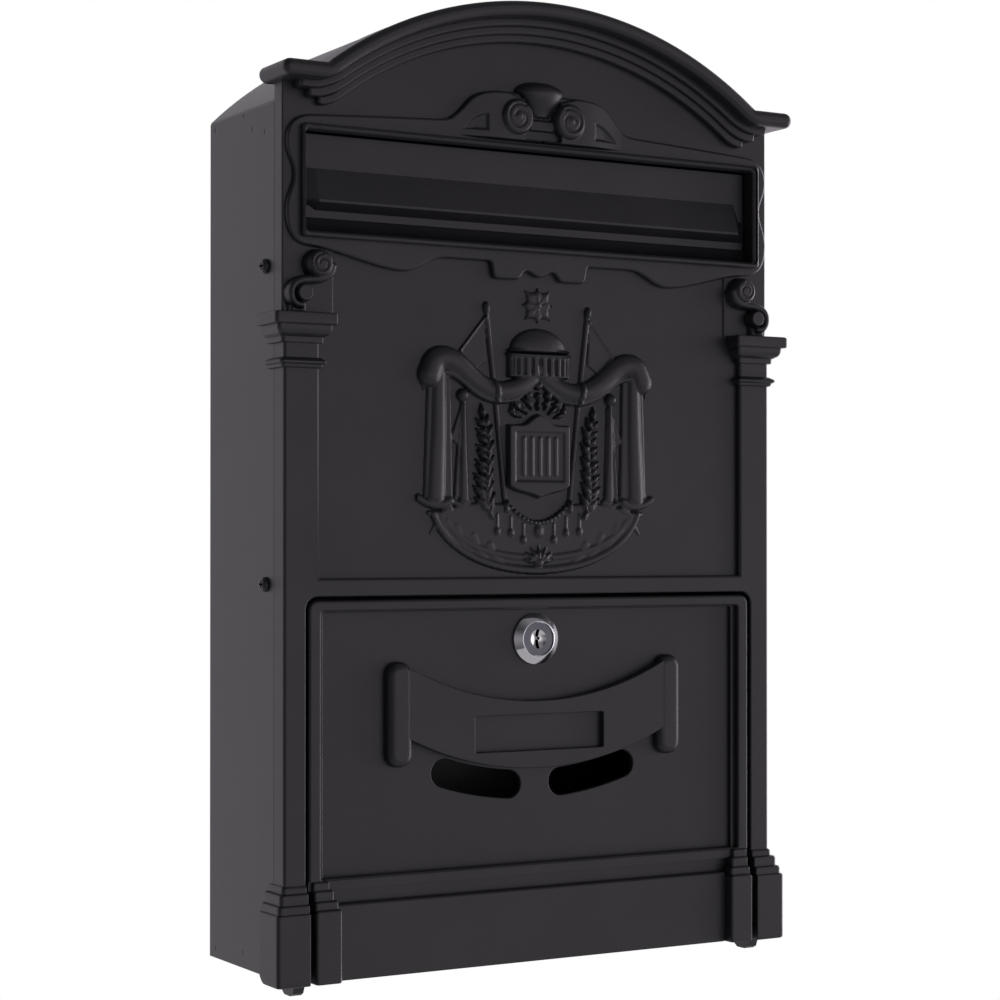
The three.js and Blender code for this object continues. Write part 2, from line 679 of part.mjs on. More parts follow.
add('front_frame', frontFrame(), blackCoat);
add('door', door(), blackCoat);
add('slot_flap', slotFlap(), blackCoat);
add('flap_rod', rodAlongX(1.5, -116.2, 116.2, flapAxis.y, flapAxis.z, 12), zinc);
add('flap_clip_left', flapClip(-1), zinc);
add('flap_clip_right', flapClip(1), zinc);
add('body_wrap', bodyWrap(), sheetCoat);
add('back_panel', backPanel(), sheetCoat);
add('bottom_panel', bottomPanel(), sheetCoat);
add('door_pin_left', rodAlongX(hinge.pinRadius, -115.9, -103.6, hinge.y, hinge.z, 12), zinc);
add('door_pin_right', rodAlongX(hinge.pinRadius, 103.6, 115.9, hinge.y, hinge.z, 12), zinc);
add('lock_body', lockBody(), chrome);
add('lock_plug', lockPlug(), chrome);
add('lock_washer', lockWasher(), zinc);
add('lock_nut', lockNut(), zinc);
add('lock_cam', lockCam(), zinc);
add('cam_screw', camScrew(), zinc);

for (const [sideName, side] of [['left', -1], ['right', 1]]) {
  for (const [levelName, height] of [['lower', sideScrewHeights[0]], ['upper', sideScrewHeights[1]]]) {
    const screw = add(`side_screw_${sideName}_${levelName}`, sideScrew(), blackScrew);
    screw.rotation.z = (side * Math.PI) / 2;
    screw.position.set(side * (bodyHalf + gap), sideScrewY, height);
  }
}

export default letterBox;
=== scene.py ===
"""A wall-hung letter box: a cast front with an ornate relief, a flap, a lockable door and a steel body.

Shapes are written in millimetres: x to the right, y towards the wall (0 at the wall, negative in
front of it) and height above the underside of the base blocks. build() turns them into metres in
the frame of the CAD model.
"""

import json
import math

import bmesh
import bpy
import numpy as np
from mathutils import Euler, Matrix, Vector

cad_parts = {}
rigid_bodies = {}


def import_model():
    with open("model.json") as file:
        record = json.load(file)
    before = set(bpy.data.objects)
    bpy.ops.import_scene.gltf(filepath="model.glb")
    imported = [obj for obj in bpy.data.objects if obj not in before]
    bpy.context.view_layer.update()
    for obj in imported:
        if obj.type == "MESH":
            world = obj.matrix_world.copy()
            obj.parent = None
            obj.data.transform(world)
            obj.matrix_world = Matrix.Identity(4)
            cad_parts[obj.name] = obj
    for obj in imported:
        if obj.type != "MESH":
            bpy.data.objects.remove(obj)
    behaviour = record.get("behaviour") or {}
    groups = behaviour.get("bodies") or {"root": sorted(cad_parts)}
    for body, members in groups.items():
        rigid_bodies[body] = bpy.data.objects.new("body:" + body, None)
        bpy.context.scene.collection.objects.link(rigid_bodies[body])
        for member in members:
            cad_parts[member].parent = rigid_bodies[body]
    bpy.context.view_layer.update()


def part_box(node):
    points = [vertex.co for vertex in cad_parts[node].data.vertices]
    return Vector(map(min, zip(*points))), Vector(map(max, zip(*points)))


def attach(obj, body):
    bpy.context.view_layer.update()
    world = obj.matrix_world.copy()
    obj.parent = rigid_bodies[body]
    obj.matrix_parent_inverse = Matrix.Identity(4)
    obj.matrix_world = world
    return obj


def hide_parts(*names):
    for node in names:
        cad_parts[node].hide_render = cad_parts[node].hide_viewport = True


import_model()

MM = 0.001
LUG_DROP = 5.0  # the hinge lugs reach this far below the base


def box_mm(node):
    """The lowest and highest corner of a CAD node in millimetres."""
    low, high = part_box(node)
    return [c / MM for c in low], [c / MM for c in high]


CAST_LOW, CAST_HIGH = box_mm("front_frame")
BASE = CAST_LOW[2] + LUG_DROP  # the frame height of the underside of the base

# Distances from the wall, front to back.
FACE = -76.0  # pilasters, rail and the door's rim
UPPER = -73.8  # wall around the slot and under the arch
PANEL = -73.0  # panel behind the crest
BACK = -70.0  # back of the casting's wall
SHEET_FRONT = box_mm("body_wrap")[0][1]
WRAP_BACK = -62.2  # back of the capitals and base blocks along the sides

# Outline of the casting.
HALF = 120.7
PILASTER = 104.8  # the pilasters' inner edge
DOORWAY = 110.8
DOORWAY_TOP = 157.0
PANEL_BOTTOM = 164.4
CAPITAL_TOP = 272.3
ROOF_RADIUS = 172.0
ROOF_CENTRE = 236.9
ARCH_RADIUS = 174.5
ARCH_CENTRE = CAST_HIGH[2] - BASE - ARCH_RADIUS


# ---- outlines, in x and height ----


def polar(angle, radius, x=0.0, z=0.0):
    """The point at an angle in degrees, counter-clockwise from +x, around (x, z)."""
    a = math.radians(angle)
    return x + radius * math.cos(a), z + radius * math.sin(a)


def arc(x, z, radius, start, end, steps=8):
    """Points on an arc between two angles in degrees."""
    return [polar(a, radius, x, z) for a in np.linspace(start, end, steps + 1)]


def bezier(p0, p1, p2, p3, steps=10):
    """Points on a cubic curve, without its first point."""
    t = np.linspace(0, 1, steps + 1)[1:, None]
    p0, p1, p2, p3 = (np.array(p, float) for p in (p0, p1, p2, p3))
    curve = (1 - t) ** 3 * p0 + 3 * t * (1 - t) ** 2 * p1 + 3 * t**2 * (1 - t) * p2 + t**3 * p3
    return [tuple(p) for p in curve]


def path(start, *pieces):
    """Points from start on; a piece is a point, or a curve's two handles, its end and its steps."""
    points = [start]
    for piece in pieces:
        if np.isscalar(piece[0]):
            points.append(piece)
        else:
            points += bezier(points[-1], *piece)
    return points


def rounded(corners, steps=5):
    """A closed outline through corners (x, z, radius), each rounded by its own radius."""
    outline = []
    for i, (x, z, radius) in enumerate(corners):
        corner = np.array((x, z), float)
        if radius == 0:
            outline.append((x, z))
            continue
        before = np.array(corners[i - 1][:2], float) - corner
        after = np.array(corners[(i + 1) % len(corners)][:2], float) - corner
        before /= np.linalg.norm(before)
        after /= np.linalg.norm(after)
        half_angle = math.acos(np.clip(before @ after, -1, 1)) / 2
        middle = (before + after) / np.linalg.norm(before + after)
        centre = corner + middle * radius / math.sin(half_angle)
        start = corner + before * radius / math.tan(half_angle) - centre
        end = corner + after * radius / math.tan(half_angle) - centre
        turn = math.atan2(start[0] * end[1] - start[1] * end[0], start @ end)
        for a in np.linspace(0, turn, steps + 1):
            cos, sin = math.cos(a), math.sin(a)
            outline.append((centre[0] + cos * start[0] - sin * start[1],
                            centre[1] + sin * start[0] + cos * start[1]))
    return outline


def rectangle(x0, x1, z0, z1, radius=0.0):
    return rounded([(x0, z0, radius), (x1, z0, radius), (x1, z1, radius), (x0, z1, radius)])


def mirrored(right):
    """A closed outline from its right half, listed from the middle of the top down."""
    left = [(-x, z) for x, z in reversed(right) if x > 1e-6]
    return right + left


def offset(outline, distance):
    """The outline moved outwards everywhere by distance."""
    p = np.array(outline, float)
    if signed_area(p) < 0:
        p = p[::-1]
    into = p - np.roll(p, 1, 0)
    out_of = np.roll(p, -1, 0) - p
    into /= np.linalg.norm(into, axis=1)[:, None]
    out_of /= np.linalg.norm(out_of, axis=1)[:, None]
    normal = np.stack([into[:, 1], -into[:, 0]], 1)
    mean = normal + np.stack([out_of[:, 1], -out_of[:, 0]], 1)
    mean /= np.linalg.norm(mean, axis=1)[:, None]
    reach = np.clip((mean * normal).sum(1), 0.5, 1)
    return p + mean * (distance / reach)[:, None]


def signed_area(p):
    nxt = np.roll(p, -1, 0)
    return (p[:, 0] * nxt[:, 1] - nxt[:, 0] * p[:, 1]).sum() / 2


# ---- solids: (points, faces) in millimetres ----


def loft(rings, closed=False):
    """A skin over rings of equally many points, with flat ends unless it closes on itself."""
    count = len(rings[0])
    points = np.concatenate([np.asarray(r, float) for r in rings])
    faces = []
    for k in range(len(rings) if closed else len(rings) - 1):
        a, b = k * count, (k + 1) % len(rings) * count
        faces += [(a + i, a + (i + 1) % count, b + (i + 1) % count, b + i) for i in range(count)]
    if not closed:
        faces.append(tuple(range(count))[::-1])
        faces.append(tuple(range(len(points) - count, len(points))))
    return points, faces


def quarter(radius, steps):
    """Offsets and depths around a quarter circle: from (0, radius) to (radius, 0)."""
    angles = np.linspace(0, math.pi / 2, steps + 1)
    return [(radius * (1 - math.cos(a)), radius * (1 - math.sin(a))) for a in angles]


def slab(outline, front, back, round_front=0.0, round_back=0.0, steps=3):
    """An outline given a thickness from front to back, its front and back edges rounded."""
    levels = [(0, back)]
    if round_back:
        levels = [(-inset, back - depth) for inset, depth in reversed(quarter(round_back, steps))]
    if round_front:
        levels += [(-inset, front + depth) for inset, depth in quarter(round_front, steps)]
    else:
        levels.append((0, front))
    return loft([[(x, y, z) for x, z in offset(outline, d)] for d, y in levels])


def cutter(outline, front, back, flare=0.0, edge=0.0, steps=3):
    """A slab that cuts an opening whose edge is rounded by flare in the face at y = edge."""
    levels = [(0, back)]
    if flare:
        levels += [(inset, edge + depth) for inset, depth in quarter(flare, steps)]
        levels.append((flare, front))
    else:
        levels.append((0, front))
    return loft([[(x, y, z) for x, z in offset(outline, d)] for d, y in levels])


def bar_x(profile, x0, x1):
    """A profile in (y, height), carried along x."""
    return loft([[(x, y, z) for y, z in profile] for x in (x0, x1)])


def block(x0, x1, y0, y1, z0, z1):
    return slab([(x0, z0), (x1, z0), (x1, z1), (x0, z1)], y0, y1)


def lathe(profile, centre, axis, sides=48, closed=False):
    """A profile of (radius, distance along the axis) turned about a line through centre."""
    rings = []
    angles = np.linspace(0, 2 * math.pi, sides, endpoint=False)
    for radius, along in profile:
        a, b = radius * np.cos(angles), radius * np.sin(angles)
        c = np.full(sides, along)
        columns = {"x": (c, a, b), "y": (a, c, b), "z": (a, b, c)}[axis]
        rings.append(np.stack(columns, 1) + np.array(centre, float))
    return loft(rings, closed)


def pair(solid):
    """A solid and its mirror image on the other side of the box."""
    points, faces = solid
    return [solid, (points * (-1, 1, 1), faces)]


def object_of(solid, name="part"):
    mesh = bpy.data.meshes.new(name)
    points, faces = solid
    moved = (np.asarray(points, float) + (0, 0, BASE)) * MM
    mesh.from_pydata(moved.tolist(), [], faces)
    shell = bmesh.new()
    shell.from_mesh(mesh)
    bmesh.ops.remove_doubles(shell, verts=shell.verts, dist=1e-7)
    bmesh.ops.recalc_face_normals(shell, faces=shell.faces)
    shell.to_mesh(mesh)
    shell.free()
    piece = bpy.data.objects.new(name, mesh)
    bpy.context.scene.collection.objects.link(piece)
    return piece


def evaluated(piece):
    """The piece's mesh with its modifiers applied, in place of the old one."""
    graph = bpy.context.evaluated_depsgraph_get()
    mesh = bpy.data.meshes.new_from_object(piece.evaluated_get(graph))
    piece.modifiers.clear()
    piece.data = mesh
    return piece


def combine(piece, operation, solids):
    """Joins solids to the piece or cuts them from it."""
    for solid in solids:
        other = object_of(solid, "operand")
        other.hide_render = True
        step = piece.modifiers.new(operation, "BOOLEAN")
        step.operation = operation
        step.solver = "MANIFOLD"
        step.object = other
    evaluated(piece)
    for other in [o for o in bpy.data.objects if o.name.startswith("operand")]:
        bpy.data.objects.remove(other)


def build(name, *steps, crease=38):
    """One closed piece: the first solids joined, the next ones cut away, the next joined, and so on."""
    piece = object_of(steps[0][0], name)
    combine(piece, "UNION", steps[0][1:])
    for count, solids in enumerate(steps[1:]):
        combine(piece, "UNION" if count % 2 else "DIFFERENCE", solids)
    for polygon in piece.data.polygons:
        polygon.use_smooth = True
    piece.data.set_sharp_from_angle(angle=math.radians(crease))
    weigh = piece.modifiers.new("weighted", "WEIGHTED_NORMAL")
    weigh.keep_sharp = True
    return evaluated(piece)


# ---- relief: heights over a plane, drawn on a grid ----


def smoothstep(t):
    t = np.clip(t, 0, 1)
    return t * t * (3 - 2 * t)


def crown(q):
    """The height of a half circle at the fraction q of its radius."""
    return np.sqrt(np.clip(1 - q**2, 0, 1))


class Relief:
    """Heights over a plane, drawn with strokes, bumps and filled outlines."""

    SINK = 0.4  # bare ground lies this far under the plane, so that only the ornament shows

    def __init__(self, x0, x1, z0, z1, pitch):
        self.xs = np.linspace(x0, x1, round((x1 - x0) / pitch) + 1)
        self.zs = np.linspace(z0, z1, round((z1 - z0) / pitch) + 1)
        self.x, self.z = np.meshgrid(self.xs, self.zs, indexing="ij")
        self.height = np.full(self.x.shape, -self.SINK)

    def window(self, points, margin):
        """The part of the grid around some points."""
        p = np.array(points, float)
        i = np.searchsorted(self.xs, (p[:, 0].min() - margin, p[:, 0].max() + margin))
        j = np.searchsorted(self.zs, (p[:, 1].min() - margin, p[:, 1].max() + margin))
        return slice(*i), slice(*j)

    def distance(self, points, part):
        """Distance to a polyline, and how far along it the nearest point is, from 0 to 1."""
        p = np.array(points, float)
        lengths = np.linalg.norm(np.diff(p, axis=0), axis=1)
        total = lengths.sum()
        x, z = self.x[part], self.z[part]
        nearest = np.full(x.shape, 1e9)
        along = np.zeros(x.shape)
        done = 0.0
        for (ax, az), (bx, bz), length in zip(p[:-1], p[1:], lengths):
            ux, uz = (bx - ax) / length, (bz - az) / length
            t = np.clip((x - ax) * ux + (z - az) * uz, 0, length)
            d = np.hypot(x - ax - t * ux, z - az - t * uz)
            closer = d < nearest
            nearest[closer] = d[closer]
            along[closer] = ((done + t) / total)[closer]
            done += length
        return nearest, along

    def stroke(self, points, radius, height, tip=None, base=0.0):
        """A half-round ridge along points, over base; its radius runs to tip at the far end."""
        tip = radius if tip is None else tip
        part = self.window(points, max(radius, tip))
        d, t = self.distance(points, part)
        width = radius + (tip - radius) * t
        ridge = base + height * np.minimum(1, width / radius) * crown(d / width)
        ridge = np.where(d < width, ridge, -self.SINK)
        self.height[part] = np.maximum(self.height[part], ridge)

    def bead(self, points, radius, height):
        """A half-round ridge along points, laid on whatever is there."""
        part = self.window(points, radius)
        d, _ = self.distance(points, part)
        ground = np.maximum(self.height[part], 0)
        self.height[part] = np.where(d < radius, ground + height * crown(d / radius), self.height[part])

    def groove(self, points, radius, floor, tip=None):
        """A round-bottomed channel along points, down to floor."""
        tip = radius if tip is None else tip
        part = self.window(points, max(radius, tip))
        d, t = self.distance(points, part)
        width = radius + (tip - radius) * t
        ground = self.height[part]
        depth = crown(d / width) * np.minimum(1, width / radius)
        self.height[part] = np.where((d < width) & (ground > floor), ground - (ground - floor) * depth, ground)

    def bump(self, x, z, half_x, half_z, height, base=0.0, turn=0.0):
        """Half an ellipsoid."""
        reach = max(half_x, half_z)
        part = self.window([(x, z)], reach)
        dx, dz = self.x[part] - x, self.z[part] - z
        cos, sin = math.cos(math.radians(turn)), math.sin(math.radians(turn))
        q = ((dx * cos + dz * sin) / half_x) ** 2 + ((dz * cos - dx * sin) / half_z) ** 2
        dome = np.where(q < 1, base + height * np.sqrt(np.clip(1 - q, 0, 1)), -self.SINK)
        self.height[part] = np.maximum(self.height[part], dome)

    def inside(self, outline, part):
        """True for grid points within a closed outline."""
        x, z = self.x[part], self.z[part]
        crossed = np.zeros(x.shape, bool)
        for (ax, az), (bx, bz) in zip(outline, outline[1:] + outline[:1]):
            if az != bz:
                cut = ax + (z - az) * (bx - ax) / (bz - az)
                crossed ^= ((az > z) != (bz > z)) & (x < cut)
        return crossed

    def fill(self, outline, height, edge=0.8):
        """A raised area with a round edge; height is a number or a function of x and z."""
        outline = [tuple(p) for p in outline]
        part = self.window(outline, 0.5)
        within = self.inside(outline, part)
        d, _ = self.distance(outline + outline[:1], part)
        top = height(self.x[part], self.z[part]) if callable(height) else height
        lift = np.where(within, top * crown(1 - np.minimum(d / edge, 1)), -self.SINK)
        self.height[part] = np.maximum(self.height[part], lift)

    def sink(self, outline, depth, edge):
        """Lowers the ground within an outline, with a sloping edge."""
        part = self.window(outline, 0.5)
        d, _ = self.distance(outline + outline[:1], part)
        lowered = self.height[part] - depth * np.clip(d / edge, 0, 1)
        self.height[part] = np.where(self.inside(outline, part), lowered, self.height[part])

    def solid(self, plane, doubled=False, soften=1):
        """A closed block whose front carries the heights; doubled mirrors it about x = 0."""
        xs, height = self.xs, self.height
        if doubled:
            xs = np.concatenate([-xs[:0:-1], xs])
            height = np.concatenate([height[:0:-1], height])
        for _ in range(soften):
            padded = np.pad(height, 1, mode="edge")
            cross = padded[:-2, 1:-1] + padded[2:, 1:-1] + padded[1:-1, :-2] + padded[1:-1, 2:]
            height = (4 * height + cross) / 8
        x, z = np.meshgrid(xs, self.zs, indexing="ij")
        columns, rows = x.shape
        front = np.stack([x, plane - height, z], -1).reshape(-1, 3)
        index = np.arange(columns * rows).reshape(columns, rows)
        quads = np.stack([index[:-1, :-1], index[1:, :-1], index[1:, 1:], index[:-1, 1:]], -1)
        rim = np.concatenate([index[:, 0], index[-1, 1:], index[-2::-1, -1], index[0, -2:0:-1]]).tolist()
        back = front[rim].copy()
        back[:, 1] = plane + self.SINK + 0.8
        first = len(front)
        sides = [(rim[i], first + i, first + (i + 1) % len(rim), rim[(i + 1) % len(rim)])
                 for i in range(len(rim))]
        faces = [tuple(q) for q in quads.reshape(-1, 4).tolist()] + sides
        faces.append(tuple(range(first, first + len(rim))))
        return np.concatenate([front, back]), faces


# ---- front casting ----


def arched(half, bottom, radius=ROOF_RADIUS):
    """Straight sides under the roof's arch."""
    angle = math.degrees(math.acos(half / radius))
    return [(-half, bottom), (half, bottom)] + arc(0, ROOF_CENTRE, radius, angle, 180 - angle, 48)


def arched_strip(half, inset, bottom, radius=ROOF_RADIUS):
    """The strip between two such outlines, open at the bottom."""
    outer = arched(half, bottom, radius)[1:]
    inner = arched(half - inset, bottom, radius - inset)[1:]
    return outer + [(-half, bottom), (inset - half, bottom)] + inner[::-1]


def arch_edge(radius, level, half, blend):
    """A moulding's edge from the crown of the arch down to its level end at x = half."""
    meet = math.sqrt(radius**2 - (level - ARCH_CENTRE) ** 2)
    start = math.acos((meet - blend) / radius)
    edge = arc(0, ARCH_CENTRE, radius, 90, math.degrees(start), 36)
    down = (math.sin(start), -math.cos(start))
    leave = (edge[-1][0] + 0.6 * blend * down[0], edge[-1][1] + 0.6 * blend * down[1])
    landing = (meet + blend, level)
    return edge + bezier(edge[-1], leave, (meet + 0.4 * blend, level), landing, 8) + [(half, level)]


NOSING = {  # radius of its lower edge, levels and reach of its ears, and depth
    "inner": ARCH_RADIUS - 6.6, "top": 373.1, "bottom": 366.2, "half": 126.0, "front": -88.2, "back": -63.0,
}
REEDS = [  # lower edge of each reed: radius and level, how far its end reaches, its front, its bend
    {"radius": 164.8, "level": 363.3, "half": 115.8, "front": -81.6, "bend": 7},
    {"radius": 161.6, "level": 360.2, "half": 111.0, "front": -79.2, "bend": 6},
    {"radius": 158.5, "level": 357.4, "half": 106.0, "front": -77.3, "bend": 4},
]


def cornice():
    """A half-round nosing whose ears reach back over the sheet, over three stepped reeds."""
    end = (NOSING["top"] - NOSING["bottom"]) / 2
    meet = math.asin((NOSING["top"] - ARCH_CENTRE) / ARCH_RADIUS)
    upper = arc(0, ARCH_CENTRE, ARCH_RADIUS, 90, math.degrees(meet), 44)
    cap = arc(NOSING["half"] - end, NOSING["bottom"] + end, end, 90, -90, 10)
    lower = arch_edge(NOSING["inner"], NOSING["bottom"], NOSING["half"] - end - 1, 4)
    lip_radius = ROOF_RADIUS + 0.4
    foot = math.asin((NOSING["bottom"] + 0.4 - ROOF_CENTRE) / lip_radius)
    head = math.asin((NOSING["top"] - 0.7 - ROOF_CENTRE) / lip_radius)
    lip = arc(0, ROOF_CENTRE, lip_radius, math.degrees(foot), math.degrees(head), 10)
    solids = [
        slab(mirrored(upper + cap + lower[::-1]), NOSING["front"], SHEET_FRONT - 0.4, 2.9, steps=8),
        *pair(slab([(lip[-1][0], NOSING["top"])] + cap + lip, SHEET_FRONT - 1, NOSING["back"], 0, 0.2)),
    ]
    above = {"radius": NOSING["inner"], "level": NOSING["bottom"]}
    for reed in REEDS:
        bend = reed["bend"]
        top = arch_edge(above["radius"] + 0.8, above["level"] + 0.8, reed["half"], bend)
        corner = arc(reed["half"] - 1.4, reed["level"] + 1.4, 1.4, 0, -90, 6)
        bottom = arch_edge(reed["radius"], reed["level"], reed["half"] - 1.6, bend)
        solids.append(slab(mirrored(top + corner + bottom[::-1]), reed["front"], PANEL + 0.5, 1.2, steps=5))
        above = reed
    return solids


def cartouche():
    """The raised plate around the slot: waisted ends, a scalloped foot and a swell under the scrolls."""
    outline = mirrored(path(
        (0, 371.5), (21, 371.4), ((32, 370.8), (35.5, 366), (39, 361.6)),
        ((42, 358), (45, 357.2), (50, 356.9)), (80, 355.3), (107, 353.6),
        ((115.5, 353.4), (119.5, 349), (119.4, 342)), ((119.2, 335.5), (116.1, 334), (116.1, 329)),
        ((116.1, 323.5), (119.4, 321), (119.5, 314)), ((119.5, 306), (117, 299.9), (108, 299.6)),
        ((95, 298.8), (78, 292), (66, 292)), ((58, 292), (54, 298.7), (46, 298.7)),
        (24.8, 298.7), ((22.8, 298), (24.6, 291.4), (20.8, 291.4), 8),
        (11.5, 291.4), ((9, 291.4), (8.8, 295.2), (6.5, 295.2), 6),
        ((4.3, 295.2), (2.4, 292.9), (0, 292.9), 6)))
    return slab(outline, FACE, UPPER + 0.8, 1.3, steps=5)


def spiral(x, z, outer, inner, start, turns, steps=40):
    """Points winding inwards, clockwise for negative turns; start is an angle in degrees."""
    t = np.linspace(0, 1, steps + 1)
    radius = outer + (inner - outer) * t
    angle = np.radians(start) + 2 * math.pi * turns * t
    return list(zip(x + radius * np.cos(angle), z + radius * np.sin(angle)))


def head_scroll():
    """Two volutes at the top of the slot, a hooded shell between them and a wing at each side."""
    relief = Relief(0, 48, 348.5, 378, 0.3)
    volute = (13.0, 360.4)
    wing = path((0, 350), (44, 350), (44, 358.4), ((41, 359.5), (38, 363.6), (34.6, 367)),
                ((30, 370.8), (24, 371.2), (17, 371.2)), (9, 369), (0, 366))
    relief.fill(wing, lambda x, z: 2.1 + 2.6 * smoothstep((44 - x) / 24), 1.2)
    recess = path((26.5, 353.6), (38.5, 353.6), ((34, 359), (30.5, 361), (26.5, 361.2), 6))
    relief.sink(recess, 1.1, 0.9)
    part = relief.window([(0, 351.5), (9, 369)], 0)
    relief.height[part] = np.minimum(relief.height[part], 2.2)
    relief.fill(arc(*volute, 8.3, 0, 360, 40)[:-1], 6.8, 2.4)
    relief.groove(spiral(*volute, 5.8, 2.0, 120, -1.3), 0.75, 6.2, 0.5)
    relief.bump(*volute, 1.8, 1.8, 0.7, base=6.5)
    relief.fill([(-3, 355.0), (6.5, 355.0), (6.5, 360.6), (-3, 360.6)], 3.6, 1.2)
    part = relief.window([(0, 361.2), (12.5, 377)], 0)
    x, z = relief.x[part], relief.z[part]
    rise = np.clip((z - 361.2) / 10.2, 0, 1)
    throat = 3.2 + 8.0 * rise**0.8
    shell = 1.6 + (2.4 + 3.6 * smoothstep(rise)) * crown(x / throat)
    lower = np.where((z < 371.4) & (x < throat), shell, -1)
    hood = 1 - (x / 12.2) ** 2 - ((z - 371.4) / 5.4) ** 2
    upper = np.where(z >= 371.4, 7.6 * np.clip(hood, 0, 1) ** 0.5, -1)
    relief.height[part] = np.maximum(relief.height[part], np.maximum(lower, upper))
    return relief.solid(UPPER, doubled=True)


def side_scroll():
    """The S-shaped bracket over the right capital: a volute above and a roundel below."""
    relief = Relief(97.8, 120.5, 271.5, 301, 0.25)
    volute = (105.6, 292.4)
    roundel = (112.6, 280.3)
    relief.fill([(110.5, 271.8), (118.4, 271.8), (118.4, 277), (110.5, 277)], 3.0, 1.6)
    band = path((99.8, 293), ((99.8, 288.4), (102.6, 286.6), (107.5, 286.2)),
                ((112.5, 285.8), (118.2, 285.6), (118.3, 280), 12),
                ((118.2, 276.4), (116, 275.2), (113.6, 275.4), 8))[1:]
    relief.stroke(band, 1.9, 2.6, 1.5, base=3.2)
    relief.fill(arc(*roundel, 3.9, 0, 360, 32)[:-1], 6.0, 0.9)
    relief.fill(arc(*volute, 6.3, 0, 360, 40)[:-1], 6.8, 2.6)
    relief.groove(spiral(*volute, 4.0, 1.3, 90, -1.25), 0.6, 6.2, 0.4)
    return relief.solid(UPPER)


# ---- crest ----


def leaf(relief, x, z, angle, length, width, height, base=0.0):
    """A pointed leaf from its stalk at (x, z), with a raised rib."""
    belly = polar(angle, 0.45 * length, x, z)
    tip = polar(angle, length, x, z)
    relief.stroke([(x, z), belly], 0.35 * width, height, width, base)
    relief.stroke([belly, tip], width, height, 0.25, base)
    relief.stroke([(x, z), tip], 0.45, height + 0.35, 0.3, base)


def crest_drapes(relief):
    """The hanging ends of the mantle and the narrow banners beside them."""
    relief.fill([(42.6, 251), (54.0, 251), (55.8, 198), (42.0, 198)], 1.6, 1.4)
    relief.stroke([(48.6, 251), (49.0, 226), (50.0, 199)], 3.4, 3.6, 4.6)
    relief.stroke([(43.8, 248), (43.6, 226), (43.2, 199)], 1.2, 1.8, 1.8)
    curl = bezier((42.4, 197.6), (45.6, 194.6), (51.6, 193.4), (58.2, 198.0), 10)
    relief.stroke(curl, 2.3, 3.0, 1.7)
    relief.stroke([(43.2, 193.4), (47.4, 191.0), (53.0, 191.6)], 1.9, 2.0, 1.2)
    relief.stroke([(46.8, 190.6), (49.0, 187.0), (52.4, 182.6)], 2.2, 1.5, 0.7)
    relief.fill([(34.8, 238), (38.0, 238), (41.0, 198), (33.6, 198)], 1.0, 0.9)
    relief.stroke([(36.6, 239), (36.6, 220), (36.2, 198)], 1.1, 2.4, 2.6)
    relief.stroke([(37.4, 238), (38.8, 220), (40.2, 198)], 0.7, 1.5, 1.2)
    relief.fill([(37.6, 237), (38.4, 236), (43.0, 223), (39.4, 220)], 1.2, 0.8)
    relief.stroke([(33.6, 196.8), (37, 194.8), (41.2, 196.2)], 1.3, 1.8)
    relief.stroke([(36.2, 193.6), (37.4, 189.6), (40.2, 186.6)], 1.9, 1.4, 0.7)
    relief.bump(37, 241.4, 2.9, 2.9, 4.0)


def crest_mantle(relief):
    """The gathered top of the mantle, caught up at a knot on each side."""
    roll = path((53.0, 249.6), (51.6, 253.4), ((49.4, 258.6), (42.6, 257.4), (37, 252.6)),
                ((30.4, 246.8), (24, 242.6), (16.6, 243.8)), ((9, 245.2), (3.4, 249.2), (-1.4, 254.6)))
    relief.stroke(roll, 5.6, 5.6, 3.6)
    hem = path((50, 249.4), ((47.4, 252.4), (42, 251.2), (35.6, 246.0), 8),
               ((28, 239.6), (19, 237.4), (10.4, 241.0), 8), (4, 245.4), (0, 250))
    relief.stroke(hem, 1.4, 1.6, 1.0, base=1.6)
    relief.bump(53.6, 251.2, 3.2, 6.0, 4.0, turn=-16)
    relief.stroke([(55.0, 249), (56.0, 245.6), (55.4, 243)], 1.4, 2.0, 0.6)


def crest_dome(relief):
    """A plain dome on a fluted drum."""
    drum = [(-3, 249.6), (15.2, 249.6), (15.2, 259.4), (-3, 259.4)]
    relief.fill(drum, lambda x, z: 2.2 + 2.0 * crown(x / 16.0), 0.7)
    for step in range(6):
        across = 14.8 * math.sin(math.radians(16 * step))
        relief.groove([(across, 251.6), (across, 257.6)], 0.8 * math.cos(math.radians(14 * step)) + 0.15, 2.6)
    relief.stroke([(0, 259.6), (15.0, 259.6)], 0.7, 0.7, base=4.0)
    relief.stroke([(0, 261.2), (14.4, 261.2)], 0.7, 0.7, base=3.8)
    part = relief.window([(0, 261), (14.0, 272)], 1)
    q = (relief.x[part] / 14.0) ** 2 + (np.maximum(relief.z[part] - 261.4, 0) / 9.6) ** 2
    dome = np.where((q < 1) & (relief.z[part] > 260.8), 5.0 * np.sqrt(np.clip(1 - q, 0, 1)) + 0.2, -1)
    relief.height[part] = np.maximum(relief.height[part], dome)


def crest_flags(relief):
    relief.fill([(26.0, 275), (38.6, 260), (31, 252), (25, 256)], 0.9, 0.9)
    relief.stroke([(26, 275), (38.2, 260.2), (31.4, 253)], 0.6, 0.7, base=0.8)


def crest_poles(relief):
    relief.bead([(25.2, 276.5), (20.6, 238), (15.8, 193)], 1.35, 1.7)
    relief.bump(25.4, 278.8, 1.7, 3.0, 2.8, turn=-7)


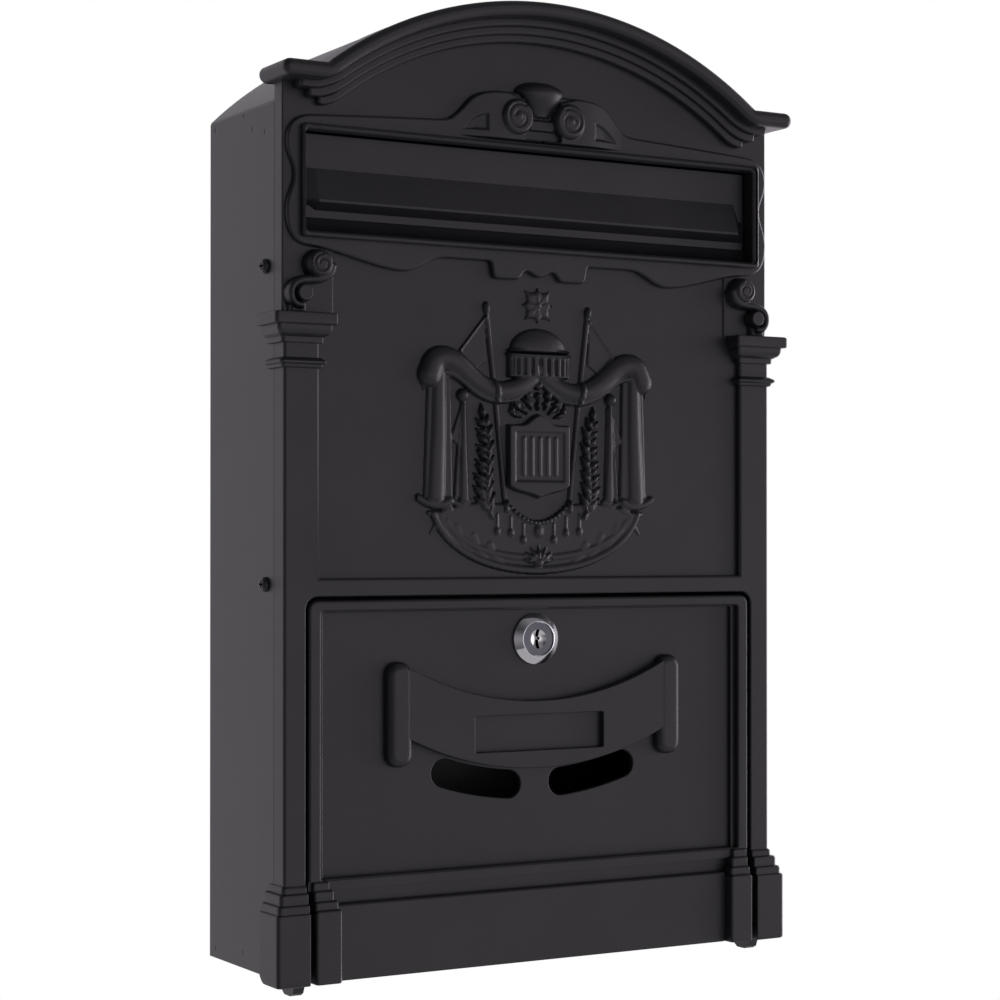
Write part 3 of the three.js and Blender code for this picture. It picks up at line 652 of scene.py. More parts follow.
def crest_shield(relief):
    """A plain shield with reeds down its field, under a beaded cresting."""
    outline = path((-3, 234.4), (0, 234.4), ((4, 233.6), (5.6, 230), (9, 229.8), 6), (15.4, 229.6),
                   (15.4, 203.4), ((13, 200.4), (5, 200.6), (0, 198), 6), (-3, 198))
    relief.fill(outline, 3.8, 0.9)
    relief.sink([(-3, 226.8), (12.4, 226.8), (12.4, 205.0), (-3, 205.0)], 1.0, 0.7)
    for x in (0, 4.0, 8.0):
        relief.stroke([(x, 208.6), (x, 223.4)], 1.3, 1.0, base=2.6)
    for x, z, r in ((0, 246.4, 1.9), (0, 242.2, 1.6), (4.9, 242.4, 1.8)):
        relief.bump(x, z, r, r, 2.8, base=0.8)
    for x, z, angle, length in ((3.4, 236.4, 62, 5.4), (5.4, 234.4, 38, 6.2), (8.4, 232.8, 22, 6.4),
                                (9.4, 235.8, 58, 5.4), (2.6, 238.6, 20, 5.6), (12.4, 233.6, 78, 5.2),
                                (7.4, 238.6, 8, 5.2), (0.0, 236.2, 90, 4.4)):
        leaf(relief, x, z, angle, length, 1.25, 2.2, base=0.6)


def crest_spray(relief):
    """A laurel spray where a supporter would stand."""
    stem = path((23.0, 190), ((30, 200), (21.6, 214), (27.4, 232), 14))
    relief.stroke(stem, 1.3, 2.8, 0.8, base=0.4)
    for k, (x, z) in enumerate(stem[1:-1]):
        for side in (-1, 1):
            slant = 78 - 46 * side if k % 2 else 74 - 34 * side
            leaf(relief, x, z, slant, 7.4 - 0.16 * k, 1.55, 3.0, base=0.6)
    leaf(relief, *stem[-1], 84, 6.0, 1.5, 3.0, base=0.6)


def crest_bowl(relief):
    """The gathered foot of the mantle, with a beaded festoon and a palmette on it."""
    rim = path((51, 191), ((45, 176), (26, 167.4), (0, 167.2), 20))
    floor = [(-3, 187.4)] + [(15.5 * k / 6, 187.4 + 8.4 * (k / 6) ** 2) for k in range(7)]
    floor += [(30, 196.4), (44, 194.0)] + rim + [(-3, 167.2)]
    relief.fill(floor, lambda x, z: 0.9 + 0.5 * smoothstep((z - 168) / 20), 1.4)
    relief.stroke(rim, 1.5, 1.2, 1.8, base=0.9)
    inner = path((45, 188), ((38, 178), (22, 172.6), (0, 172.6), 16))
    relief.stroke(inner, 1.5, 0.7, 1.4, base=1.1)
    for x0, z0, x1, z1 in ((47, 189, 41, 178.5), (40, 186, 33, 174.4), (32, 182, 25, 171.4),
                           (24, 178, 17, 169.6)):
        relief.stroke([(x0, z0), ((x0 + x1) / 2 + 1.2, (z0 + z1) / 2), (x1, z1)], 2.2, 0.9, 1.2, base=0.8)
    for k in range(9):
        t = k / 8
        relief.bump(15.5 * t, 187.6 + 8.4 * t * t, 1.25, 1.25, 2.0, base=0.7)
    for x, top, bottom in ((7.6, 187, 180.5), (20.5, 191, 184), (13.8, 190, 183.4)):
        relief.stroke([(x, top), (x, bottom + 2)], 0.8, 1.4, 0.8, base=0.8)
        relief.bump(x, bottom, 1.7, 2.0, 2.2, base=0.7)
    relief.bump(0, 184, 2.6, 3.0, 2.4, base=0.7)
    for angle in (90, 62, 34, 8):
        leaf(relief, polar(angle, 1.2)[0], 171.0, angle, 6.6, 1.3, 2.4, base=0.9)
    relief.bump(0, 170.6, 2.4, 2.2, 3.2, base=0.8)


def crest_rosette(relief):
    """Eight pointed petals around a button."""
    for angle in (-90, -45, 0, 45, 90):
        leaf(relief, *polar(angle, 1.0, 0, 281), angle, 7.8 if angle % 90 else 6.6, 2.5, 1.7)
    relief.bump(0, 281, 1.6, 1.6, 2.4)


def crest():
    relief = Relief(0, 59, 163.5, 291, 0.42)
    for draw in (crest_bowl, crest_drapes, crest_spray, crest_dome, crest_flags, crest_shield,
                 crest_mantle, crest_poles, crest_rosette):
        draw(relief)
    relief.height = np.where(relief.height > 0, 0.8 * relief.height, relief.height)
    return relief.solid(PANEL, doubled=True)


# ---- steps and blocks ----


def tier(x0, x1, front, back, z0, z1, top=1.0, bottom=0.0, corner=1.0, steps=4):
    """A block whose upright front corners and top edge, and bottom edge if asked, are rounded."""
    levels = [(0, z0)]
    if bottom:
        levels = [(inset, z0 + depth) for inset, depth in reversed(quarter(bottom, steps))]
    levels += [(inset, z1 - depth) for inset, depth in quarter(top, steps)]
    rings = []
    for inset, z in levels:
        left, right, near = x0 + inset, x1 - inset, front + inset
        plan = rounded([(left, back, 0), (left, near, corner), (right, near, corner), (right, back, 0)])
        rings.append([(x, y, z) for x, y in plan])
    return loft(rings)


WRAP = 120.9  # where the parts that wrap round the sheet begin


def wrap_step(inner, profile, inward=0.83, corner=1.2):
    """A moulding round a pilaster and along the box's side; profile lists (reach, height).

    Reach is how far it stands out. A third number says how far its rear end stops short of WRAP_BACK.
    """
    rings = []
    for reach, z, *pull in profile:
        left, right, near = inner - inward * reach, HALF + reach, FACE - reach
        rear = WRAP_BACK - sum(pull)
        plan = [(left, BACK - 0.6, 0), (left, near, corner if inward else 0.5), (right, near, corner + 0.6)]
        plan += [(right, rear, min(0.8, 0.45 * (right - WRAP))), (WRAP, rear, 0), (WRAP, SHEET_FRONT - 0.4, 0)]
        plan += [(HALF - 2.5, SHEET_FRONT - 0.4, 0), (HALF - 2.5, BACK - 0.6, 0)]
        rings.append([(x, y, z) for x, y in rounded(plan, 6)])
    return loft(rings)


def capital():
    """Abacus, ovolo and fillet over an astragal."""
    astragal = [(0.4, 249.9), (1.2, 250.2), (1.5, 250.9), (1.5, 251.3), (2.6, 251.9), (2.7, 252.6),
                (2.2, 253.2), (0.6, 254.2)]
    bell = [(0.4, 260.1), (1.5, 260.3), (1.6, 262.4), (2.3, 262.7)]
    bell += [(2.3 + 2.4 * math.sin(t), 263.0 + 3.6 * (1 - math.cos(t)))
             for t in np.linspace(0.1, math.pi / 2, 6)]
    bell += [(4.7, 267.5)]
    abacus = [(5.0, 267.3), (6.2, 267.4), (6.5, 267.7), (6.6, 268.2), (6.6, 271.4), (6.4, 272.0),
              (5.8, 272.3)]
    return [wrap_step(PILASTER, profile) for profile in (astragal, bell, abacus)]


def base_block():
    """Four diminishing steps beside the doorway."""
    foot = [(4.3, 0, 5.0), (4.9, 0.4, 3.8), (5.1, 1.2, 2.8), (5.1, 3.0, 0.9), (5.1, 5.0), (5.1, 28.4),
            (4.8, 29.1), (4.0, 29.4)]
    steps = [foot]
    for reach, bottom, top in ((4.1, 28.9, 32.8), (2.7, 32.3, 37.2)):
        steps.append([(reach, bottom), (reach, top - 1.1), (reach - 0.3, top - 0.3), (reach - 1.1, top)])
    steps.append([(1.0, 36.6), (1.0, 39.0), (0.8, 39.7), (0.4, 40.1)])
    return [wrap_step(DOORWAY + 0.1, profile, inward=0) for profile in steps]


SPRING = 2.6  # rounding of the fold where the roof's arch springs from the straight sides
HOLE = 1.8  # radius of the holes for the pins, the rod and the screws
HINGE = (-67.0, 4.5)  # the line the door turns on: y and height
AXIS = (-66.5, 344.0)  # the line the flap turns on
SCREW_Y = -58.2
SCREW_HEIGHTS = (162.0, 292.4)
SLOT = {"half": 111.2, "bottom": 306.0, "top": 347.0, "relief": 348.6}
RIM = {"half": 113.4, "bottom": 303.2, "top": 349.4, "front": -79.4}


def folded(outline, half):
    """An arched outline whose two springing corners are rounded."""
    corners = []
    for x, z in outline:
        spring = abs(abs(x) - half) < 1e-6 and z > DOORWAY_TOP
        corners.append((x, z, SPRING if spring else 0))
    return rounded(corners, 6)


def rod(radius, x0, x1, y, z, sides=32, chamfer=0.0):
    """A round bar along x."""
    profile = [(radius, x0), (radius, x1)]
    if chamfer:
        profile = [(radius - chamfer, x0), (radius, x0 + chamfer)]
        profile += [(radius, x1 - chamfer), (radius - chamfer, x1)]
    return lathe(profile, (0, y, z), "x", sides)


def front_walls():
    shell = folded(arched(HALF, 0), HALF)
    foot = CAPITAL_TOP - 0.5
    upper = arched(HALF, foot)[1:] + [(-HALF, foot), (-97.5, foot), (-97.5, RIM["bottom"])]
    upper += [(97.5, RIM["bottom"]), (97.5, foot)]
    pilasters = [(-HALF, 0), (HALF, 0), (HALF, CAPITAL_TOP), (PILASTER, CAPITAL_TOP)]
    pilasters += [(PILASTER, PANEL_BOTTOM), (-PILASTER, PANEL_BOTTOM), (-PILASTER, CAPITAL_TOP)]
    pilasters += [(-HALF, CAPITAL_TOP)]
    side = folded(arched_strip(HALF, 3, 0), HALF)
    flange = arched_strip(119.2, 2.4, 12, ROOF_RADIUS - 1.4)
    return [
        slab(shell, PANEL, BACK),
        slab(folded(upper, HALF), UPPER, PANEL + 0.6, 0.7),
        *pair(slab(rectangle(105, HALF, 350, 367), UPPER, SHEET_FRONT - 0.3, 0.7)),
        slab(pilasters, FACE, PANEL + 0.5, 1.4, steps=5),
        slab(side, PANEL, SHEET_FRONT - 0.3),
        slab(flange, BACK - 0.5, -53, 0, 0.5),
    ]


def hinge_lug():
    outline = [(-74.4, 10), (-74.4, -1.4), (-73.4, -3.8), (-71, -5), (-65.4, -5), (-63.2, -3.6),
               (-62.2, -1), (-62.2, 10)]
    return bar_x(rounded([(y, z, 0.8) for y, z in outline]), DOORWAY, DOORWAY + 4.8)


def front_casting():
    solids = front_walls() + cornice() + [cartouche()]
    solids.append(slab(rectangle(-RIM["half"], RIM["half"], RIM["bottom"], RIM["top"], 1.6),
                       RIM["front"], BACK - 0.5, 1.2, steps=5))
    solids += [head_scroll(), crest()]
    solids += pair(side_scroll())
    for moulding in capital():
        solids += pair(moulding)
    solids.append(slab(rectangle(-22, 22, 158.5, 163.5, 0.5), PANEL + 1, -58.2, 0, 0.6))
    solids += pair(hinge_lug())
    for z in SCREW_HEIGHTS:
        solids += pair(slab(rectangle(112, 119.2, z - 4, z + 4, 0.8), -63, -53.5, 0.5, 0.5))
    doorway = rounded([(-DOORWAY, -2, 0), (DOORWAY, -2, 0), (DOORWAY, DOORWAY_TOP, 5.2),
                       (-DOORWAY, DOORWAY_TOP, 5.2)])
    opening = rectangle(-SLOT["half"], SLOT["half"], SLOT["bottom"], SLOT["top"], 1.0)
    cuts = [
        cutter(doorway, -90, BACK + 1, 0.8, FACE),
        cutter(opening, -90, BACK + 1, 0.9, RIM["front"]),
        cutter(opening, -90, -73.4, 1.5, -77.6),
        slab(rectangle(-SLOT["half"], SLOT["half"], SLOT["bottom"], SLOT["relief"], 1.0), -72, BACK + 1),
        rod(HOLE, -116.2, 116.2, *HINGE),
    ]
    for z in SCREW_HEIGHTS:
        cuts += pair(rod(HOLE, 112.8, 125, SCREW_Y, z))
    late = []
    for step in base_block():
        late += pair(step)
    for y0, y1, x0, x1, z0, z1 in ((BACK - 0.5, -63, 111.6, 114.6, 339.5, 349.5),
                                   (BACK - 0.5, -65.5, 111.6, 114.6, 313, 321),
                                   (-68.4, -65.5, 106, 114, 313.2, 320.8)):
        late += pair(block(x0, x1, y0, y1, z0, z1))
    return build("front_casting", solids, cuts, late, [rod(HOLE, -118, 118, *AXIS)])


# ---- door ----


def curved_band(top_radius, top_centre, bottom_radius, bottom_centre, half, steps=28):
    """The region between two arcs that hang from centres on the middle line."""
    top = math.degrees(math.asin(half / top_radius))
    bottom = math.degrees(math.asin(half / bottom_radius))
    lower = arc(0, bottom_centre, bottom_radius, -90 - bottom, -90 + bottom, steps)
    return lower + arc(0, top_centre, top_radius, -90 + top, -90 - top, steps)


def viewing_slot(centre, radius, half, near, far):
    """A short arc with round ends, on the right."""
    a, b = (math.degrees(math.asin(x / radius)) - 90 for x in (near, far))
    outline = arc(0, centre, radius + half, a, b, 16)
    outline += arc(*polar(b, radius, 0, centre), half, b, b + 180, 12)[1:]
    outline += arc(0, centre, radius - half, b, a, 16)[1:]
    outline += arc(*polar(a, radius, 0, centre), half, a + 180, a + 360, 12)[1:-1]
    return outline


LOCK_HEIGHT = 137.7
DOOR = {"half": 109.5, "top": 155.6, "field": -71.0, "step": -73.0, "back": -68.5}


def door():
    outline = rounded([(-DOOR["half"], 29, 0.5), (DOOR["half"], 29, 0.5),
                       (DOOR["half"], DOOR["top"], 4.0), (-DOOR["half"], DOOR["top"], 4.0)])
    back = DOOR["back"]
    solids = [slab(outline, FACE, back, 1.4, steps=5)]
    recesses = [
        cutter(rectangle(-103.9, 103.9, 41.7, 151, 1.2), -90, DOOR["step"], 1.0, FACE),
        cutter(rectangle(-101.8, 101.8, 41.9, 150.4, 0.8), -90, DOOR["field"], 0.6, DOOR["step"]),
        block(-110, 110, -90, -72.5, 20, 37.4),
        block(-110, 110, -90, -75.0, 20, 41.2),
    ]
    bar = slab(rectangle(61, 73, 85.5, 129.5, 5.4), FACE - 0.2, back - 0.5, 3.6, steps=9)
    flange = []
    for x0, x1, z0, z1 in ((-107, 107, 10, 12.4), (-107, 107, 151, 153.4), (-107, -104.6, 10, 153.4),
                           (104.6, 107, 10, 153.4)):
        flange.append(block(x0, x1, back - 1, -62, z0, z1))
    late = [
        tier(-97, 97, FACE, back, 0, 31.5, top=1.4, bottom=0.7, corner=0.6),
        tier(-103.5, 103.5, -75.0, back, 37.3, 42.0, top=0.7, bottom=0.7, corner=0.6),
        slab(curved_band(137, 248.5, 143, 225.5, 64), FACE, back - 0.5, 0.6, steps=4),
        *pair(bar),
        *flange,
        *pair(tier(96.7, 108.4, -81.1, back, 0, 30.2, top=1.2, bottom=0.8, corner=1.2)),
        *pair(tier(97.6, 108.2, -79.6, back, 29.7, 33.6, top=1.0, corner=1.2)),
        *pair(tier(99.0, 108.0, -78.2, back, 33.2, 37.8, top=1.0, corner=1.1)),
        *pair(tier(100.5, 108.0, -77.0, back, 37.2, 41.2, top=0.9, corner=0.9)),
        *pair(rod(4, 102, 110.3, *HINGE, 40, 0.3)),
        *pair(block(102, 108, -71, HINGE[0], 0.8, 8.4)),
    ]
    slot = viewing_slot(225.5, 150.2, 6, 13, 44.5)
    openings = [
        cutter(rectangle(-32, 32, 90.3, 105.6, 0.8), -90, FACE + 3, 0.5, FACE),
        *pair(cutter(slot, -90, -60, 0.6, DOOR["field"])),
        lathe([(8.3, -90), (8.3, -60)], (0, 0, LOCK_HEIGHT), "y", 48),
        *pair(rod(HOLE, 103, 115, *HINGE)),
    ]
    return build("door_panel", solids, recesses, late, openings)


# ---- flap ----

FLAP = {"half": 110.2, "crest": 104.6, "front": -71.0, "back": -69.0}


def ledge(profile):
    """The finger ledge: a wedge on the flap whose ends slope away to almost nothing."""
    face, outer, inner = FLAP["front"], FLAP["half"] - 0.6, FLAP["crest"]
    rings = []
    for x, size in ((-outer, 0.02), (-inner, 1), (inner, 1), (outer, 0.02)):
        ring = [(x, face + 0.05 + (y - face) * size, z) for y, z in profile]
        ring += [(x, face + 0.8, profile[-1][1]), (x, face + 0.8, profile[0][1])]
        rings.append(ring)
    return loft(rings)


def slot_flap():
    half, front, back = FLAP["half"], FLAP["front"], FLAP["back"]
    top = 346.4
    blade = slab(rectangle(-half, half, 311.8, top, 0.6), front, back, 0.35, 0.3)
    lip = bar_x([(-70.4, 312.1), (-66.6, 306.8), (-65.8, 306.8), (-65.8, 312.6), (-70.4, 312.6)],
                0.2 - half, half - 0.2)
    wedge = ledge([(front, 332.4), (-75.2, 319.1), (-75.2, 318.1), (front, 315.0)])
    knuckle = rod(3, -half, half, *AXIS, 48)
    web = bar_x([(back - 0.5, 340), (-67, 342.4), (-66.5, top), (back - 0.5, top)], -half, half)
    hollow = bar_x([(back + 1, 318), (back, 318), (-72.2, 319.4), (back, 332.4), (back + 1, 332.4)],
                   -102, 102)
    return build("flap_plate", [blade, lip, wedge, knuckle, web],
                 [hollow, rod(HOLE, -115, 115, *AXIS)], crease=10)


# ---- steel body ----

SIDE = 120.6  # the outer face of the sheet-steel sides
FLOOR = 1.5  # the sheet's lower edge
WELD_DEPTH = 0.22
WELDS = [  # spot welds on the left side: y, height and radius
    (-6.0, 356.0, 1.6), (-35.8, 357.6, 1.2), (-44.9, 350.7, 1.7), (-57.4, 347.7, 1.5),
    (-7.0, 5.7, 1.3), (-35.6, 7.9, 1.3),
]


def sheet_body():
    strip = folded(arched_strip(SIDE, 1, FLOOR), SIDE)
    holes = []
    for z in SCREW_HEIGHTS:
        holes += pair(rod(HOLE, 115, 125, SCREW_Y, z))
    for y, z, size in WELDS:
        ball = (size**2 + WELD_DEPTH**2) / (2 * WELD_DEPTH)
        profile = [(ball * math.sin(t), ball * math.cos(t)) for t in np.linspace(0.02, math.pi - 0.02, 60)]
        holes.append(lathe(profile, (-SIDE - ball + WELD_DEPTH, y, z), "x", 36))
    return build("steel_body", [slab(strip, SHEET_FRONT, -0.2, 0.35, 0.3)], holes)


def back_panel():
    half, radius = SIDE - 1.4, ROOF_RADIUS - 1.4
    panel = slab(arched(half, FLOOR + 0.3, radius), -1, 0)
    flange = slab(arched_strip(half, 1, 14, radius), -9, -0.8, 0.3)
    holes = []
    for x in (-80, 80):
        holes.append(lathe([(4.2, -2), (4.2, 1)], (x, 0, 320), "y", 40))
        holes.append(slab(rectangle(x - 2.4, x + 2.4, 320, 329, 2.2), -2, 1))
        holes.append(lathe([(3.4, -2), (3.4, 1)], (x, 0, 60), "y", 40))
    return build("rear_panel", [panel, flange], holes)


def bottom_panel():
    z0, z1 = FLOOR + 0.3, FLOOR + 1.3
    half, neck = SIDE - 1.4, 116.2
    return build("floor_panel", [
        block(-half, half, -52.6, -1.3, z0, z1),
        block(-neck, neck, -56.4, -52, z0, z1),
        slab(rectangle(-neck, neck, z0, z0 + 9, 0.4), -56.4, -55.4),
        block(-half, 1 - half, -52.6, -1.3, z0, z0 + 9),
        block(half - 1, half, -52.6, -1.3, z0, z0 + 9),
    ])


# ---- lock, pins and screws ----


def turned(name, profile, centre, axis, cuts=(), sides=96, closed=False, more=()):
    return build(name, [lathe(profile, centre, axis, sides, closed), *more], list(cuts))


def lock_pieces():
    centre = (0, 0, LOCK_HEIGHT)
    seat = DOOR["field"] - 0.3
    bore = 6.5
    flange = [(bore, -73.2), (7.4, -73.2), (7.4, -74.3), (7.6, -74.5), (7.8, -74.5), (8.0, -74.35),
              (10.9, -72.4), (11.05, -72.0), (11.05, seat), (8.0, seat), (8.0, -58.4), (bore, -58.4)]
    body = turned("lock_shell", flange, centre, "y", closed=True)
    keyway = slab(rectangle(-0.75, 0.75, LOCK_HEIGHT - 4.0, LOCK_HEIGHT + 4.0, 0.3), -75, -69.6)
    ward = slab(rectangle(0.3, 1.5, LOCK_HEIGHT - 0.4, LOCK_HEIGHT + 0.9, 0.2), -75, -69.6)
    dish = lathe([(4.1, -74.2), (4.1, -73.95), (3.6, -73.5), (2.4, -72.8), (0.4, -72.4)], centre, "y", 64)
    stub = block(-3, 3, -58.7, -55.4, LOCK_HEIGHT - 3, LOCK_HEIGHT + 3)
    barrel = [(7.1, -74.0), (7.2, -73.9), (7.2, -73.4), (6.2, -73.4), (6.2, -58.2)]
    plug = turned("lock_core", barrel, centre, "y",
                  [dish, keyway, ward, lathe([(1.8, -64), (1.8, -54)], centre, "y")], more=[stub])
    ring = [(8.3, -68.2), (10.8, -68.2), (11, -68.0), (11, -67.6), (10.8, -67.4), (8.3, -67.4)]
    washer = turned("lock_ring", ring, centre, "y", closed=True)
    hexagon = arc(0, LOCK_HEIGHT, 12.4, 0, 300, 5)
    nut = build("lock_hexagon", [slab(hexagon, -67.1, -63.1, 0.4, 0.4)],
                [lathe([(8.3, -70), (8.3, -60)], centre, "y")])
    half, reach = 6.5, 25.0
    blade = arc(0, LOCK_HEIGHT, half + 1.5, 60, 300, 24)
    blade += arc(reach - 3, LOCK_HEIGHT - half + 3, 3, -90, 0, 8)
    blade += arc(reach - 3, LOCK_HEIGHT + half - 3, 3, 0, 90, 8)
    hole = slab(rectangle(-3.3, 3.3, LOCK_HEIGHT - 3.3, LOCK_HEIGHT + 3.3, 0.2), -60, -50)
    cam = build("lock_blade", [slab(blade, -57.9, -55.9, 0.3, 0.3)], [hole])
    head = [(1.5, -62), (1.5, -55.1), (4.4, -55.1), (4.6, -54.9), (4.6, -54.0), (4.2, -53.4), (3.4, -53.0),
            (1.8, -52.82)]
    screw = turned("blade_screw", head, centre, "y",
                   [block(-5, 5, -53.6, -52, LOCK_HEIGHT - 0.5, LOCK_HEIGHT + 0.5)], 64)
    return body, plug, washer, nut, cam, screw


def side_screw(name, side, z):
    """A pan-head screw along x with a cross recess."""
    profile = [(0.4, 2.2), (1.0, 2.16), (1.7, 2.02), (2.3, 1.7), (2.8, 1.2), (3.05, 0.6), (3.1, 0.0),
               (1.5, 0.0), (1.5, -7.4)]
    at = side * WRAP
    depth = sorted((at + side * 1.1, at + side * 3))
    recess = [block(*depth, SCREW_Y - y, SCREW_Y + y, z - h, z + h) for y, h in ((0.45, 1.7), (1.7, 0.45))]
    return turned(name, [(r, side * h) for r, h in profile], (at, SCREW_Y, z), "x", recess, 48)


def straight_pin(name, x0, x1, line):
    """A 3 mm pin along x with bevelled ends."""
    return turned(name, [(1.2, x0), (1.5, x0 + 0.3), (1.5, x1 - 0.3), (1.2, x1)], (0, *line), "x", sides=40)


def flap_clip(name, side):
    """A push-on ring round the flap's rod."""
    x0, x1 = sorted((side * 114.9, side * 115.7))
    ring = [(1.8, x0), (3.1, x0), (3.2, x0 + 0.1), (3.2, x1 - 0.1), (3.1, x1), (1.8, x1)]
    return turned(name, ring, (0, *AXIS), "x", sides=48, closed=True)


# ---- materials ----


class Graph:
    """A node tree built by calls: add() makes a node and returns one of its outputs."""

    def __init__(self, tree):
        self.nodes, self.links = tree.nodes, tree.links

    def feed(self, node, inputs):
        """Sets a node's sockets to values, or links the outputs of other nodes to them."""
        for socket, value in inputs.items():
            if isinstance(value, bpy.types.NodeSocket):
                self.links.new(value, node.inputs[socket])
            else:
                node.inputs[socket].default_value = value

    def add(self, kind, inputs, output=0, **settings):
        node = self.nodes.new("ShaderNode" + kind)
        for name, value in settings.items():
            setattr(node, name, value)
        self.feed(node, inputs)
        return node.outputs[output]

    def noise(self, scale, detail, roughness=0.5, stretch=(1, 1, 1)):
        """Noise in the piece's own coordinates."""
        where = self.add("TexCoord", {}, "Object")
        if stretch != (1, 1, 1):
            where = self.add("Mapping", {"Vector": where, "Scale": stretch})
        inputs = {"Vector": where, "Scale": scale, "Detail": detail, "Roughness": roughness}
        return self.add("TexNoise", inputs, "Fac")

    def spread(self, value, start, end, low, high, **settings):
        """Maps the range from start to end onto low to high."""
        inputs = {"Value": value, "From Min": start, "From Max": end, "To Min": low, "To Max": high}
        return self.add("MapRange", inputs, **settings)

    def colours(self, value, shade, dark, light, inset=0.0):
        """A ramp from a darker to a lighter tone of a shade."""
        node = self.nodes.new("ShaderNodeValToRGB")
        for element, tone, place in zip(node.color_ramp.elements, (dark, light), (inset, 1 - inset)):
            element.position = place
            element.color = (*[tone * c for c in shade], 1)
        self.links.new(value, node.inputs["Fac"])
        return node.outputs["Color"]

    def bump(self, height, strength, distance):
        return self.add("Bump", {"Strength": strength, "Distance": distance, "Height": height})


def new_material(name):
    material = bpy.data.materials.new(name)
    material.use_nodes = True
    return material, Graph(material.node_tree), material.node_tree.nodes["Principled BSDF"]


def powder_coat(name, shade, rough, grain, strength):
    """Black powder coat: a fine orange-peel grain and a slight cloudiness."""
    material, graph, shader = new_material(name)
    speck = graph.noise(2600, 1)
    cloud = graph.spread(graph.noise(35, 3), 0.3, 0.7, 0.1, 0.6)
    tone = graph.add("Math", {0: speck, 1: 0.35, 2: cloud}, operation="MULTIPLY_ADD")
    graph.feed(shader, {
        "Base Color": graph.colours(tone, shade, 0.82, 1.18, 0.25),
        "Roughness": graph.spread(speck, 0.3, 0.7, rough - 0.04, rough + 0.05),
        "Normal": graph.bump(graph.noise(grain, 3, 0.6), strength, 0.12 * MM),
    })
    return material


def bright_metal(name, shade, rough, scratch):
    """Plated metal with fine scratches and a slightly uneven polish."""
    material, graph, shader = new_material(name)
    haze = graph.noise(180, 4)
    graph.feed(shader, {
        "Metallic": 1.0,
        "Base Color": graph.colours(haze, shade, 0.86, 1),
        "Roughness": graph.spread(haze, 0.3, 0.7, 0.7 * rough, 1.4 * rough),
        "Normal": graph.bump(graph.noise(420, 4, stretch=(1, 1, 14)), scratch, 0.03 * MM),
    })
    return material


FINISHES = {
    "cast_black": powder_coat("cast_black", (0.017, 0.016, 0.018), 0.40, 1500, 0.45),
    "sheet_black": powder_coat("sheet_black", (0.018, 0.017, 0.019), 0.37, 1900, 0.25),
    "lock_chrome": bright_metal("lock_chrome", (0.86, 0.87, 0.88), 0.09, 0.1),
    "zinc": bright_metal("zinc", (0.66, 0.68, 0.70), 0.34, 0.4),
    "screw_black": powder_coat("screw_black", (0.022, 0.022, 0.024), 0.33, 2500, 0.2),
}


def plug_metal_with_painted_keyway_shade():
    """The plug's metal: satin on its rim and polished in the dish, with painted shade across the keyway: a
    near-black strip down its middle.
    """
    material = bright_metal("plug_metal_with_painted_keyway_shade", (0.16, 0.165, 0.18), 0.38, 0.5)
    graph = Graph(material.node_tree)
    shader = graph.nodes["Principled BSDF"]
    centre = (0, 0, (LOCK_HEIGHT + BASE) * MM)
    where = graph.add("TexCoord", {}, "Object")
    centred = graph.add("VectorMath", {0: where, 1: centre}, operation="SUBTRACT")
    flat = graph.add("VectorMath", {0: centred, 1: (1, 0, 1)}, operation="MULTIPLY")
    radius = graph.add("VectorMath", {0: flat}, "Value", operation="LENGTH")
    rim = graph.spread(radius, 3.9 * MM, 4.2 * MM, 0, 1)
    across = graph.add("SeparateXYZ", {0: centred}, "X")
    aside = graph.add("Math", {0: across}, operation="ABSOLUTE")
    # True away from the keyway strip (|x| over 0.8 mm); within the strip the keyway gets a painted shade, a
    # near-black base colour for the darkness of the slot.
    solid = graph.add("Math", {0: aside, 1: 0.8 * MM}, operation="GREATER_THAN")
    # Inside the dish: painted keyway shade (near-black, rougher) in the strip, polished metal beside it;
    # outside the dish: the satin rim.
    for socket, keyway_painted_shade, polished in (("Base Color", 0.004, 0.87), ("Roughness", 0.6, 0.1)):
        dish = graph.spread(solid, 0, 1, keyway_painted_shade, polished)
        satin = shader.inputs[socket].links[0].from_socket
        mixed = graph.add("MixRGB", {"Fac": rim, "Color1": dish, "Color2": satin})
        graph.feed(shader, {socket: mixed})
    return material


def place(piece, body, finish, *nodes):
    piece.data.materials.clear()
    piece.data.materials.append(FINISHES[finish])
    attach(piece, body)
    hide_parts(*nodes)


# ---- the object ----

place(front_casting(), "root", "cast_black", "front_frame")
place(door(), "door", "cast_black", "door")
place(slot_flap(), "flap", "cast_black", "slot_flap")
place(sheet_body(), "root", "sheet_black", "body_wrap")
place(back_panel(), "root", "sheet_black", "back_panel")
place(bottom_panel(), "root", "sheet_black", "bottom_panel")
shell, core, ring, nut, cam, cam_screw = lock_pieces()
place(shell, "door", "lock_chrome", "lock_body")
place(core, "lock", "lock_chrome", "lock_plug")
# The plug's material, which paints the keyway's shade as a near-black strip.
core.data.materials[0] = plug_metal_with_painted_keyway_shade()
place(ring, "door", "zinc", "lock_washer")
place(nut, "door", "zinc", "lock_nut")
place(cam, "lock", "zinc", "lock_cam")
place(cam_screw, "lock", "zinc", "cam_screw")
place(straight_pin("flap_axle", -116.2, 116.2, AXIS), "root", "zinc", "flap_rod")
for word, side in (("left", -1), ("right", 1)):
    place(flap_clip(f"axle_clip_{word}", side), "root", "zinc", f"flap_clip_{word}")
    ends = sorted((side * 103.6, side * 115.9))
    place(straight_pin(f"hinge_pin_{word}", *ends, HINGE), "root", "zinc", f"door_pin_{word}")
    for level, z in zip(("lower", "upper"), SCREW_HEIGHTS):
        screw = side_screw(f"body_screw_{word}_{level}", side, z)
        place(screw, "root", "screw_black", f"side_screw_{word}_{level}")


# ---- floor, light and camera ----

FLOOR_LEVEL = -1.2  # the box hangs this far above the floor
FLOOR_RADIUS = 1.8


